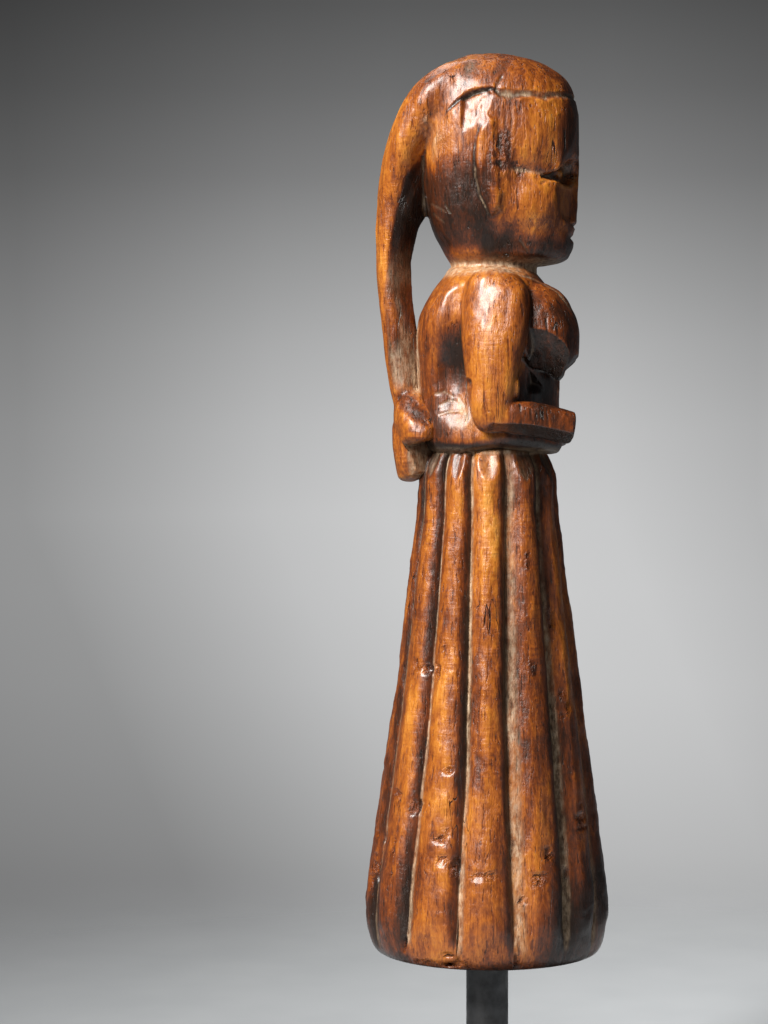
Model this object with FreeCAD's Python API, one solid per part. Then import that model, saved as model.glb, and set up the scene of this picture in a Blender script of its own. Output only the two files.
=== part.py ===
# Carved fertility doll on its post stand.
#
# The doll is one billet of hard wood, grain upright: a bell skirt with fluted pleats, a short torso with
# forearms held out in front, a capped head and a hair tail that arches from the crown to the small of the back.
# A blind hole bored up into the skirt takes the spigot of a black steel post. The post's foot stands in a
# socket in a square base plate and a screw from below pulls it tight. A felt sheet covers the screw.
#
# Millimetres. +Z is up, the doll faces -Y and its left hand is at +X. The origin is the centre of the felt's
# underside, on the post's axis.

import FreeCAD
import Part
import math
import os

Vector = FreeCAD.Vector
up = Vector(0, 0, 1)

# ---------------------------------------------------------------- stand
felt_thickness = 1.5
felt_inset = 2.0            # from the plate's edge to the felt's edge
base_side = 90.0
base_thickness = 12.0
base_corner_radius = 3.0
base_chamfer = 0.8
post_diameter = 10.0
post_exposed = 38.0         # from the plate's top to the post's shoulder
post_foot_depth = 5.0       # how far the post's foot is let into the plate
post_foot_clearance = 0.05
spigot_diameter = 6.0
spigot_length = 40.0        # above the shoulder
spigot_chamfer = 0.8
seat_thickness = 1.0        # leather washer between shoulder and doll
running_clearance = 0.08    # radial, spigot to washer and spigot to bore

# ---------------------------------------------------------------- screw, M5 socket head cap
screw_diameter = 5.0
screw_head_diameter = 8.5
screw_head_height = 3.5
screw_grip = 9.0            # thread length inside the post
screw_socket_across_flats = 4.0
screw_socket_depth = 2.0
screw_hole_clearance = 0.25
counterbore_clearance = 0.5
screw_head_recess = 0.5     # head stays this far above the plate's underside

# ---------------------------------------------------------------- skirt
skirt_height = 119.0
skirt_foot_radius = 29.9    # of the cone, before its edge is rounded
skirt_waist_radius = 16.6
skirt_foot_round = 8.0
pleat_count = 14
pleat_groove_depth = 2.3
pleat_groove_angle = 80.0   # of the V, degrees
pleat_top_bevel = 3.0       # rib ends slope in under the waist
bore_extra_depth = 3.0      # below the spigot's tip
bore_mouth_chamfer = 0.5

# ---------------------------------------------------------------- torso
waist_gap = 1.6             # undercut between pleats and torso rim
waist_core_radius = 13.6
torso_height = 41.0
torso_width = 36.0
back_reach = 16.8           # behind the axis
belly_reach = 17.8          # in front of it
breast_reach = 22.0
breast_radius = 8.6
breast_spread = 8.2         # from the middle
breast_height = 25.5        # centre above the torso's rim
neck_height = 5.5
neck_width = 18.0
neck_back = 9.2
neck_front = 11.6

# ---------------------------------------------------------------- arms
shoulder_width = 47.0       # over both arms
shoulder_drop = 1.5         # of the arms' tops below the neck's root
upper_arm_forward = 1.9     # middle of the upper arm, in front of the axis
upper_arm_depth = 15.6
upper_arm_thickness = 9.5
elbow_height = 2.6          # of the elbow's underside above the torso's rim
elbow_depth = 9.6
elbow_thickness = 8.0
elbow_inset = 1.0           # the elbows are this much nearer the body than the shoulders
forearm_height = 8.2
forearm_reach = 20.6
forearm_edge_round = 1.6

# ---------------------------------------------------------------- head
head_height = 50.0
head_width = 34.0
nape_reach = 15.0           # behind the axis
face_reach = 21.4           # in front of it
ear_height = 21.5
ear_depth = 5.4
ear_rear = -0.8             # the ear's upright edge, in front of the axis
ear_bottom = 12.0           # above the chin
ear_relief = 1.2            # how far the ear stands out
eye_level = 21.0            # above the chin
eye_length = 10.5
eye_height = 5.0
eye_turn = 40.0             # how far the eyes look to the side, degrees
nose_width = 4.4
nose_height = 13.0
nose_relief = 0.8
mouth_level = 7.4
mouth_width = 8.0
mouth_height = 4.4
lips_relief = 1.1

# ---------------------------------------------------------------- hair tail and the knot it ends in
tail_thickness = 8.2
tail_width = 9.6
tail_reach = 26.5           # furthest behind the axis
tail_edge_round = 2.4
web_width = 6.0             # wood left between head and tail above the gap
gap_top_height = 9.5        # above the chin
knot_width = 17.0
knot_depth = 11.0
knot_height = 15.0
knot_relief = 5.0           # behind the back
drop_width = 13.0
drop_overhang = 7.5         # how far the lower lobe hangs below the top of the pleats
drop_relief = 6.2           # behind the pleats' top

# ---------------------------------------------------------------- places that follow from the sizes above
plate_bottom = felt_thickness
plate_top = plate_bottom + base_thickness
shoulder_z = plate_top + post_exposed
skirt_bottom = shoulder_z + seat_thickness
skirt_top = skirt_bottom + skirt_height
torso_bottom = skirt_top + waist_gap
torso_top = torso_bottom + torso_height
head_bottom = torso_top + neck_height * 0.4
bore_radius = spigot_diameter / 2 + running_clearance
bore_depth = spigot_length - seat_thickness + bore_extra_depth


# ---------------------------------------------------------------- shape helpers
def point(forward, side, z):
    """A point given by its distance in front of the axis, to the doll's left, and up."""
    return Vector(side, -forward, z)


def level_section(back, front, half_width, corner_share, z, side=0.0):
    """A level rectangle with round corners, from back to front of the axis."""
    half_depth = (front - back) / 2
    radius = corner_share * min(half_depth, half_width)
    middle = (front + back) / 2
    arcs = []
    for quarter in range(4):
        left = 1 if quarter in (0, 3) else -1
        rear = 1 if quarter in (0, 1) else -1
        centre = point(middle - rear * (half_depth - radius), side + left * (half_width - radius), z)
        start = quarter * math.pi / 2
        arcs.append(Part.ArcOfCircle(Part.Circle(centre, up, radius), start, start + math.pi / 2).toShape())
    edges = []
    for quarter, arc in enumerate(arcs):
        following = arcs[(quarter + 1) % 4]
        edges += [arc, Part.makeLine(arc.Vertexes[-1].Point, following.Vertexes[0].Point)]
    return Part.Wire(edges)


def loft(sections):
    return Part.makeLoft(sections, True, False)


def ellipsoid(centre, half_side, half_forward, half_up):
    """A ball stretched to the three half sizes."""
    stretch = FreeCAD.Matrix()
    stretch.scale(half_side, half_forward, half_up)
    stretched = Part.makeSphere(1.0).transformGeometry(stretch)
    stretched.translate(centre)
    return stretched


def cylinder(radius, bottom, top):
    return Part.makeCylinder(radius, top - bottom, Vector(0, 0, bottom))


def across_slab(outline, width, side=0.0):
    """A closed side outline given as (forward, z) edges or points, made as thick as width across the doll."""
    face = Part.Face(outline)
    slab = face.extrude(Vector(width, 0, 0))
    slab.translate(Vector(side - width / 2, 0, 0))
    return slab


def side_polygon(corners):
    points = [point(forward, 0, z) for forward, z in corners]
    return Part.makePolygon(points + points[:1])


def mirrored(shape):
    """The same shape on the doll's other side."""
    return shape.mirror(Vector(0, 0, 0), Vector(1, 0, 0))


# ---------------------------------------------------------------- skirt
def pleat_cutter():
    """One V groove, lying along the cone's slope."""
    slope = Vector(skirt_waist_radius - skirt_foot_radius, 0, skirt_height)
    overrun = 0.1
    foot = Vector(skirt_foot_radius, 0, skirt_bottom) - slope * overrun
    across = Vector(0, 1, 0)
    outward = across.cross(slope)
    outward.normalize()
    half_mouth = 2 * pleat_groove_depth * math.tan(math.radians(pleat_groove_angle / 2))
    corners = [
        foot - outward * pleat_groove_depth,
        foot + outward * pleat_groove_depth + across * half_mouth,
        foot + outward * pleat_groove_depth - across * half_mouth,
    ]
    face = Part.Face(Part.makePolygon(corners + corners[:1]))
    return face.extrude(slope * (1 + 2 * overrun))


def skirt():
    cone = Part.makeCone(skirt_foot_radius, skirt_waist_radius, skirt_height, Vector(0, 0, skirt_bottom))
    foot_edge = [e for e in cone.Edges if e.Closed and abs(e.CenterOfMass.z - skirt_bottom) < 1e-6]
    waist_edge = [e for e in cone.Edges if e.Closed and abs(e.CenterOfMass.z - skirt_top) < 1e-6]
    body = cone.makeChamfer(pleat_top_bevel, waist_edge).makeFillet(skirt_foot_round, foot_edge)
    cutter = pleat_cutter()
    for pleat in range(pleat_count):
        turned = cutter.copy()
        turned.rotate(Vector(0, 0, 0), up, (pleat + 0.5) * 360.0 / pleat_count)
        body = body.cut(turned)
    return body


def bore():
    mouth = Part.makeCone(bore_radius + bore_mouth_chamfer, bore_radius, bore_mouth_chamfer,
                          Vector(0, 0, skirt_bottom))
    return cylinder(bore_radius, skirt_bottom, skirt_bottom + bore_depth).fuse(mouth)


# ---------------------------------------------------------------- torso
def torso():
    """Level sections from the rim over the pleats to the neck's root."""
    half_width = torso_width / 2
    profile = [
        # share of height, of the back's reach, of the belly's reach, of the half width, corner
        (0.00, 0.82, 0.86, 0.86, 0.80),
        (0.07, 0.90, 0.95, 0.93, 0.80),
        (0.30, 0.98, 1.00, 0.92, 0.75),
        (0.58, 1.00, 1.00, 1.00, 0.70),
        (0.78, 0.95, 0.90, 1.06, 0.65),
        (0.91, 0.80, 0.66, 0.86, 0.70),
        (1.00, 0.50, 0.52, 0.52, 0.85),
    ]
    wires = [level_section(-back_reach * back, belly_reach * front, half_width * wide, corner,
                           torso_bottom + share * torso_height)
             for share, back, front, wide, corner in profile]
    core = cylinder(waist_core_radius, skirt_top - pleat_top_bevel, torso_bottom + pleat_top_bevel)
    return loft(wires).fuse(core)


def breast():
    centre = point(breast_reach - breast_radius, breast_spread, torso_bottom + breast_height)
    return ellipsoid(centre, breast_radius, breast_radius, breast_radius)


def neck():
    half_width = neck_width / 2
    root = torso_top - neck_height
    wires = [level_section(-neck_back * 1.2, neck_front * 1.2, half_width * 1.25, 0.9, root),
             level_section(-neck_back, neck_front, half_width, 0.9, torso_top),
             level_section(-neck_back, neck_front, half_width, 0.9, torso_top + 2 * neck_height)]
    return loft(wires)


# ---------------------------------------------------------------- arms
def arm():
    """The doll's left arm: upper arm hanging from the shoulder, forearm level and pointing ahead."""
    shoulder_top = torso_top - shoulder_drop
    elbow_bottom = torso_bottom + elbow_height
    outer = shoulder_width / 2
    drop = shoulder_top - elbow_bottom
    profile = [
        # share of the drop, how far from shoulder shape to elbow shape, fullness
        (0.00, 0.0, 0.45),
        (0.06, 0.0, 0.78),
        (0.18, 0.0, 1.0),
        (0.55, 0.5, 1.0),
        (0.88, 1.0, 1.0),
        (1.00, 1.0, 0.72),
    ]
    wires = []
    for share, along, fullness in profile:
        half_depth = (upper_arm_depth + (elbow_depth - upper_arm_depth) * along) / 2 * fullness
        half_thick = (upper_arm_thickness + (elbow_thickness - upper_arm_thickness) * along) / 2 * fullness
        side = outer - along * elbow_inset - (upper_arm_thickness * (1 - along) + elbow_thickness * along) / 2
        wires.append(level_section(upper_arm_forward - half_depth, upper_arm_forward + half_depth, half_thick,
                                   0.75, shoulder_top - share * drop, side))
    elbow_side = outer - elbow_inset - elbow_thickness / 2
    forearm = Part.makeBox(elbow_thickness, forearm_reach - upper_arm_forward, forearm_height,
                           point(forearm_reach, elbow_side - elbow_thickness / 2, elbow_bottom))
    return [loft(wires), forearm.makeFillet(forearm_edge_round, forearm.Edges).Solids[0]]


# ---------------------------------------------------------------- head
def head():
    half_width = head_width / 2
    profile = [
        # share of height, of the nape's reach, of the face's reach, of the half width, corner
        (0.00, 0.45, 0.76, 0.60, 0.80),
        (0.05, 0.66, 0.88, 0.74, 0.72),
        (0.16, 0.88, 0.96, 0.88, 0.68),
        (0.34, 1.00, 1.00, 0.97, 0.66),
        (0.58, 1.02, 1.00, 1.00, 0.66),
        (0.76, 0.98, 0.98, 0.97, 0.72),
        (0.88, 0.84, 0.88, 0.86, 0.80),
        (0.96, 0.60, 0.66, 0.66, 0.88),
        (1.00, 0.28, 0.38, 0.38, 0.92),
    ]
    wires = [level_section(-nape_reach * back, face_reach * front, half_width * wide, corner,
                           head_bottom + share * head_height)
             for share, back, front, wide, corner in profile]
    return loft(wires)


def ear():
    """A narrow ear in low relief, widest at the top and pointed at the bottom."""
    top = head_bottom + ear_bottom + ear_height
    outline = side_polygon([(ear_rear, top), (ear_rear + ear_depth, top - ear_depth * 0.3),
                            (ear_rear + ear_depth * 0.9, top - ear_height * 0.45),
                            (ear_rear + ear_depth * 0.2, top - ear_height)])
    inner = head_width / 2 - 3 * ear_relief
    outer = head_width / 2 + ear_relief
    return across_slab(outline, outer - inner, (outer + inner) / 2)


def eye_socket():
    """An almond hollow that wraps round the corner of the face."""
    hollow = ellipsoid(Vector(0, 0, 0), eye_length / 2, eye_height * 0.55, eye_height / 2)
    hollow.rotate(Vector(0, 0, 0), up, eye_turn)
    hollow.translate(point(face_reach * 0.93, head_width * 0.26, head_bottom + eye_level))
    return hollow


def nose():
    """A straight ridge down the middle of the face."""
    top = head_bottom + eye_level + nose_height * 0.55
    base = top - nose_height
    outline = side_polygon([(face_reach * 0.8, top), (face_reach, top), (face_reach + nose_relief, base + nose_relief),
                            (face_reach + nose_relief * 0.6, base), (face_reach * 0.8, base)])
    return across_slab(outline, nose_width)


def lips():
    """A pursed mouth below the nose, standing a little in front of the chin."""
    centre = point(face_reach * 0.95 - lips_relief, 0, head_bottom + mouth_level)
    return ellipsoid(centre, mouth_width / 2, 3 * lips_relief, mouth_height / 2)


# ---------------------------------------------------------------- hair tail
def tail_path():
    """Centre line from inside the crown, out behind the nape and back in above the waist."""
    crown = head_bottom + head_height - tail_thickness / 2
    middle_reach = tail_reach - tail_thickness / 2
    return [
        # share of the reach behind the axis, z
        (-0.10 * middle_reach, crown),
        (-0.56 * middle_reach, crown - 0.08 * head_height),
        (-0.83 * middle_reach, crown - 0.27 * head_height),
        (-0.98 * middle_reach, crown - 0.58 * head_height),
        (-1.00 * middle_reach, torso_top),
        (-0.94 * middle_reach, torso_bottom + 0.55 * torso_height),
        (-0.84 * middle_reach, torso_bottom + 0.10 * torso_height),
    ]


def hair_tail():
    """A band of even thickness along the path, its four long edges rounded."""
    path = tail_path()
    outer, inner = [], []
    for i, (forward, z) in enumerate(path):
        before = path[max(i - 1, 0)]
        after = path[min(i + 1, len(path) - 1)]
        run_forward, run_z = after[0] - before[0], after[1] - before[1]
        run = math.hypot(run_forward, run_z)
        out_forward, out_z = run_z / run * tail_thickness / 2, -run_forward / run * tail_thickness / 2
        outer.append(point(forward + out_forward, 0, z + out_z))
        inner.append(point(forward - out_forward, 0, z - out_z))
    outer_curve, inner_curve = Part.BSplineCurve(), Part.BSplineCurve()
    outer_curve.interpolate(outer)
    inner_curve.interpolate(inner)
    outline = Part.Wire([outer_curve.toShape(), Part.makeLine(outer[-1], inner[-1]),
                         inner_curve.toShape(), Part.makeLine(inner[0], outer[0])])
    band = across_slab(outline, tail_width)
    long_edges = [e for e in band.Edges if e.Length > torso_height]
    return band.makeFillet(tail_edge_round, long_edges)


def web():
    """The wood left standing between skull and tail above the gap."""
    along = tail_path()[:4]
    gap_top = head_bottom + gap_top_height
    return across_slab(side_polygon(along + [(along[-1][0], gap_top), (0, gap_top)]), web_width)


def knot():
    """The bun at the small of the back, and the lobe below it that hangs over the pleats."""
    bun = ellipsoid(point(-back_reach * 0.9 - knot_relief / 2, 0, torso_bottom + knot_height * 0.46),
                    knot_width / 2, knot_depth / 2, knot_height / 2)
    drop = ellipsoid(point(-skirt_waist_radius - drop_relief + knot_depth / 2, 0, skirt_top - drop_overhang / 3),
                     drop_width / 2, knot_depth / 2, drop_overhang * 2 / 3)
    return bun.fuse(drop)


def carved_figure():
    """Everything the carver left of the billet, as one solid."""
    left = arm() + [breast(), ear()]
    added = [torso(), neck(), head(), nose(), lips(), web(), hair_tail(), knot()]
    added += left + [mirrored(piece) for piece in left]
    body = skirt()
    for piece in added:
        body = body.fuse(piece)
    socket = eye_socket()
    for hollow in (socket, mirrored(socket), bore()):
        body = body.cut(hollow)
    return body


# ---------------------------------------------------------------- stand pieces
def post():
    foot_bottom = plate_top - post_foot_depth
    rod = cylinder(post_diameter / 2, foot_bottom, shoulder_z)
    spigot = cylinder(spigot_diameter / 2, shoulder_z, shoulder_z + spigot_length)
    tip = [e for e in spigot.Edges if e.Closed and abs(e.CenterOfMass.z - shoulder_z - spigot_length) < 1e-6]
    tapped = cylinder(screw_diameter / 2, foot_bottom, foot_bottom + screw_grip + 1.0)
    return rod.fuse(spigot.makeChamfer(spigot_chamfer, tip)).cut(tapped)


def counterbore_top():
    return plate_bottom + screw_head_recess + screw_head_height


def base_plate():
    block = Part.makeBox(base_side, base_side, base_thickness, Vector(-base_side / 2, -base_side / 2, plate_bottom))
    corners = [e for e in block.Edges if abs(e.Vertexes[0].Z - e.Vertexes[1].Z) > base_thickness / 2]
    block = block.makeFillet(base_corner_radius, corners)
    rim = [e for e in block.Edges if abs(e.CenterOfMass.z - plate_top) < 1e-6]
    block = block.makeChamfer(base_chamfer, rim)
    socket = cylinder(post_diameter / 2 + post_foot_clearance, plate_top - post_foot_depth, plate_top)
    through = cylinder(screw_diameter / 2 + screw_hole_clearance, plate_bottom, plate_top)
    counterbore = cylinder(screw_head_diameter / 2 + counterbore_clearance, plate_bottom, counterbore_top())
    return block.cut(socket).cut(through).cut(counterbore)


def base_screw():
    head_top = counterbore_top()
    head_bottom_z = head_top - screw_head_height
    tip = plate_top - post_foot_depth + screw_grip
    screw = cylinder(screw_head_diameter / 2, head_bottom_z, head_top)
    screw = screw.fuse(cylinder(screw_diameter / 2, head_top, tip))
    corner = screw_socket_across_flats / math.sqrt(3)
    hexagon = [Vector(corner * math.cos(math.radians(60 * i)), corner * math.sin(math.radians(60 * i)), head_bottom_z)
               for i in range(6)]
    key = Part.Face(Part.makePolygon(hexagon + hexagon[:1])).extrude(up * screw_socket_depth)
    return screw.cut(key)


def seat_washer():
    ring = cylinder(post_diameter / 2, shoulder_z, shoulder_z + seat_thickness)
    return ring.cut(cylinder(spigot_diameter / 2 + running_clearance, shoulder_z, shoulder_z + seat_thickness))


def felt_sheet():
    side = base_side - 2 * felt_inset
    sheet = Part.makeBox(side, side, felt_thickness, Vector(-side / 2, -side / 2, 0))
    corners = [e for e in sheet.Edges if abs(e.Vertexes[0].Z - e.Vertexes[1].Z) > felt_thickness / 2]
    return sheet.makeFillet(base_corner_radius, corners)


# ---------------------------------------------------------------- export
pieces = {
    "carved_figure": carved_figure,
    "post": post,
    "base_plate": base_plate,
    "base_screw": base_screw,
    "seat_washer": seat_washer,
    "felt_sheet": felt_sheet,
}

os.makedirs("parts", exist_ok=True)
for name, make in pieces.items():
    shape = make()
    box = shape.BoundBox
    shape.exportStep(f"parts/{name}.step")
    print(f"{name}: {len(shape.Solids)} solid, valid {shape.isValid()}, {shape.Volume / 1000:.1f} cm3, "
          f"{box.XLength:.1f} x {box.YLength:.1f} x {box.ZLength:.1f} mm")
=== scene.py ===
import math

import bpy
import numpy as np
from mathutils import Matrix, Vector


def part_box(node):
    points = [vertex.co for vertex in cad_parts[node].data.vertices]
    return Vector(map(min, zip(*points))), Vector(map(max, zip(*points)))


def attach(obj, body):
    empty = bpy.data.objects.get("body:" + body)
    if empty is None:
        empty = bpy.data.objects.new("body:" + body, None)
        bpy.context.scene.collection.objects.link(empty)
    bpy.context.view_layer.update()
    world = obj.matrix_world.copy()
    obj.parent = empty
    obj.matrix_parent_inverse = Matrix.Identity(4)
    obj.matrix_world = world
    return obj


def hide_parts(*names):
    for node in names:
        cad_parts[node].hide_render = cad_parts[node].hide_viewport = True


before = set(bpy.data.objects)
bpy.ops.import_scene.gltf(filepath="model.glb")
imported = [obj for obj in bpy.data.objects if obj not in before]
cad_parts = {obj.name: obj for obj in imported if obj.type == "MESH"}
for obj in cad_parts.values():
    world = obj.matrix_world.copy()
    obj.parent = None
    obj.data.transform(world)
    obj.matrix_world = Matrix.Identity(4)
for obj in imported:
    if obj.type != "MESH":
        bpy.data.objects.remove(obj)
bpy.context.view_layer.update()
print("frame loaded:", ", ".join(sorted(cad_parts)))

mm = 0.001
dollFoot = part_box("carved_figure")[0].z  # the skirt's underside, from which the doll's heights are taken
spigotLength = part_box("post")[1].z - dollFoot
hands = (-1, 1)  # the doll's right and left


# everything below speaks of the doll as forward, side and up, in millimetres
def takeAlone(piece):
    bpy.ops.object.select_all(action="DESELECT")
    piece.select_set(True)
    bpy.context.view_layer.objects.active = piece


def turnOutwards(piece, mergeWithin=None):
    takeAlone(piece)
    bpy.ops.object.mode_set(mode="EDIT")
    bpy.ops.mesh.select_all(action="SELECT")
    if mergeWithin:
        bpy.ops.mesh.remove_doubles(threshold=mergeWithin)
    bpy.ops.mesh.normals_make_consistent(inside=False)
    bpy.ops.object.mode_set(mode="OBJECT")


def addModifier(piece, kind, **settings):
    takeAlone(piece)
    modifier = piece.modifiers.new(kind.lower(), kind)
    for name, value in settings.items():
        setattr(modifier, name, value)
    bpy.ops.object.modifier_apply(modifier=modifier.name)


def toDoll(points):
    return np.column_stack([-points[:, 1] / mm, points[:, 0] / mm, (points[:, 2] - dollFoot) / mm])


def fromDoll(points):
    return np.column_stack([points[:, 1] * mm, -points[:, 0] * mm, points[:, 2] * mm + dollFoot])


def readRows(items, name, width, kind=float):
    raw = np.zeros(len(items) * width, kind)
    items.foreach_get(name, raw)
    return raw.reshape(-1, width)


def readPoints(piece):
    return toDoll(readRows(piece.data.vertices, "co", 3))


def writePoints(piece, points):
    piece.data.vertices.foreach_set("co", fromDoll(points).astype(np.float32).ravel())
    piece.data.update()


def readNormals(piece):
    raw = readRows(piece.data.vertex_normals, "vector", 3)
    return np.column_stack([-raw[:, 1], raw[:, 0], raw[:, 2]])


def readEdges(piece):
    return readRows(piece.data.edges, "vertices", 2, int)


def keepMask(piece, name, values):  # kept on the mesh for the wood material to read
    layer = piece.data.attributes.get(name) or piece.data.attributes.new(name, "FLOAT", "POINT")
    layer.data.foreach_set("value", np.clip(values, 0, 1).astype(np.float32))


def step(values, low, high):  # 0 up to low, 1 from high on, smooth between
    share = np.clip((values - low) / (high - low), 0, 1)
    return share * share * (3 - 2 * share)


def flowThrough(knots, rows, at):  # a curve through the rows that never swings past them
    knots, rows = np.asarray(knots, float), np.asarray(rows, float)
    gaps = np.diff(knots)[:, None]
    slopes = np.diff(rows, axis=0) / gaps
    same = slopes[:-1] * slopes[1:] > 0
    total = np.where(same, slopes[:-1] + slopes[1:], 1)
    middle = np.where(same, 2 * slopes[:-1] * slopes[1:] / total, 0)
    tangents = np.vstack([slopes[:1], middle, slopes[-1:]])
    cell = np.clip(np.searchsorted(knots, at, side="right") - 1, 0, len(knots) - 2)
    gap = gaps[cell]
    t = ((at - knots[cell])[:, None]) / gap
    return (rows[cell] * (1 + 2 * t) * (1 - t) ** 2 + tangents[cell] * gap * t * (1 - t) ** 2
            + rows[cell + 1] * t * t * (3 - 2 * t) + tangents[cell + 1] * gap * t * t * (t - 1))


def lumps(points, size, seed):  # soft random lumps from -1 to 1, with their size along each axis
    side = 32  # of the table of random values, which repeats
    table = np.random.default_rng(seed).uniform(-1, 1, (side, side, side))
    where = points / np.asarray(size, float) + 100.0
    corner = np.floor(where).astype(int)
    t = where - corner
    t = t * t * (3 - 2 * t)
    total = np.zeros(len(points))
    for i in (0, 1):
        for j in (0, 1):
            for k in (0, 1):
                share = (t[:, 0] if i else 1 - t[:, 0]) * (t[:, 1] if j else 1 - t[:, 1])
                share = share * (t[:, 2] if k else 1 - t[:, 2])
                cell = (corner + (i, j, k)) % side
                total += share * table[cell[:, 0], cell[:, 1], cell[:, 2]]
    return total


def unevenness(points, layers):  # a layer is the size of its lumps, their seed and their height
    return sum(lumps(points, size, seed) * high for size, seed, high in layers)


# rough forms, each drawn through a few sections
def roundForm(name, stations, around=72, rings=72, level=False, lean=0.0):
    # a station is forward, side, up, half depth, half side and squareness
    # lean moves the widest line off the middle
    bpy.ops.object.select_all(action="DESELECT")
    bpy.ops.mesh.primitive_uv_sphere_add(segments=around, ring_count=rings, radius=1)
    form = bpy.context.object
    form.name = name
    unit = readRows(form.data.vertices, "co", 3)
    table = np.asarray(stations, float)
    runs = np.linalg.norm(np.diff(table[:, :3], axis=0), axis=1)
    along = np.concatenate([[0], np.cumsum(runs)])
    at = np.arccos(np.clip(unit[:, 2], -1, 1)) / math.pi * along[-1]
    row = flowThrough(along, table, at)
    nudge = along[-1] * 0.01
    ahead = flowThrough(along, table, np.clip(at + nudge, 0, along[-1]))[:, :3]
    behind = flowThrough(along, table, np.clip(at - nudge, 0, along[-1]))[:, :3]
    run = (ahead - behind) / np.linalg.norm(ahead - behind, axis=1)[:, None]
    if level:
        deep = np.tile([1.0, 0, 0], (len(row), 1))
        wide = np.tile([0, 1.0, 0], (len(row), 1))
    else:
        deep = np.column_stack([-run[:, 2], np.zeros(len(row)), run[:, 0]])
        deep /= np.linalg.norm(deep, axis=1)[:, None] + 1e-9
        wide = np.cross(run, deep)
    turn = np.arctan2(unit[:, 1], unit[:, 0])
    offPole = np.hypot(unit[:, 0], unit[:, 1]) > 1e-6
    sideways, onward = np.sin(turn), np.cos(turn)
    square = row[:, 5]
    reach = (np.abs(onward) ** square + np.abs(sideways) ** square) ** (-1 / square) * offPole
    points = (row[:, :3] + deep * ((onward - lean * np.abs(sideways)) * reach * row[:, 3])[:, None]
              + wide * (sideways * reach * row[:, 4])[:, None])
    writePoints(form, points)
    turnOutwards(form)
    return form


def sections(rows):  # level sections given as up, back, front, half width, squareness
    return [((back + front) / 2, 0, up, (front - back) / 2, half, square)
            for up, back, front, half, square in rows]


def otherSide(stations):
    return [(forward, -side, up) + tuple(rest) for forward, side, up, *rest in stations]


def weld(name, forms, grain):  # one skin round all the forms, in even faces of that size
    bpy.ops.object.select_all(action="DESELECT")
    for form in forms:
        form.select_set(True)
    bpy.context.view_layer.objects.active = forms[0]
    bpy.ops.object.join()
    piece = bpy.context.object
    piece.name = name
    piece.data.name = name
    addModifier(piece, "REMESH", mode="VOXEL", voxel_size=grain * mm, use_smooth_shade=True)
    return piece


# carving strokes
def relax(points, edges, rounds, share=0.5):
    count = np.bincount(edges.ravel(), minlength=len(points))[:, None]
    first, second = edges.T
    for _ in range(rounds):
        total = np.column_stack([np.bincount(first, column[second], len(points))
                                 + np.bincount(second, column[first], len(points)) for column in points.T])
        points = points + (total / count - points) * share
    return points


def reachTo(points, path):  # distance to a bent line, in as many dimensions as the line has
    path = np.asarray(path, float)
    best = np.full(len(points), 1e9)
    for a, b in zip(path[:-1], path[1:]):
        run = b - a
        t = np.clip((points - a) @ run / (run @ run + 1e-12), 0, 1)
        best = np.minimum(best, np.linalg.norm(points - a - t[:, None] * run, axis=1))
    return best


def atPoint(points, place, reach):  # 1 at a place, fading to 0 at its reach
    away = (points - np.asarray(place, float)) / np.asarray(reach, float)
    return step(1 - np.linalg.norm(away, axis=1), 0, 1)


def onHand(place, hand):  # the place on one side of the doll
    forward, side, up = place
    return forward, side * hand, up


def bothSides(points, place, reach):
    return sum(atPoint(points, onHand(place, hand), reach) for hand in hands)


def onFace(points, normals, hand):  # the surface that looks out to one side
    return step(normals[:, 1] * hand, 0.12, 0.45) * (points[:, 1] * hand > 0)


def cutLine(points, normals, path, width, depth, hand):
    # a groove along a line of (forward, up) on one side of the doll
    near = np.clip(1 - reachTo(points[:, [0, 2]], path) / (width / 2), 0, 1)
    near *= onFace(points, normals, hand)
    return points - normals * (near * depth)[:, None], near


def insideOf(points, outline):  # signed distance to a closed outline of (forward, up), positive inside
    outline = np.asarray(outline, float)
    closed = np.vstack([outline, outline[:1]])
    away = reachTo(points, closed)
    inside = np.zeros(len(points), bool)
    for (ax, ay), (bx, by) in zip(closed[:-1], closed[1:]):
        crosses = (ay > points[:, 1]) != (by > points[:, 1])
        at = ax + (points[:, 1] - ay) / (by - ay if by != ay else 1e-9) * (bx - ax)
        inside ^= crosses & (points[:, 0] < at)
    return np.where(inside, away, -away)


def setPatch(points, normals, outline, height, soft, hand):
    # raises (or with a minus sinks) the surface inside an outline of (forward, up)
    share = step(insideOf(points[:, [0, 2]], outline), -soft / 2, soft / 2)
    share *= onFace(points, normals, hand)
    return points + normals * (share * height)[:, None], share


def pareFlat(points, place, facing, reach, hand):  # what stands past the plane is pulled down to it
    facing = np.asarray(onHand(facing, hand), float)
    facing /= np.linalg.norm(facing)
    away = points - np.asarray(onHand(place, hand), float)
    past = np.clip(away @ facing, 0, None)
    close = step(-np.linalg.norm(away, axis=1), -reach, -reach * 0.86)
    return points - facing * (past * close)[:, None]


def hollowness(points, edges, normals):  # positive in hollows, negative on ridges, in millimetres
    return ((relax(points, edges, 12, 0.8) - points) * normals).sum(axis=1)


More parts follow.
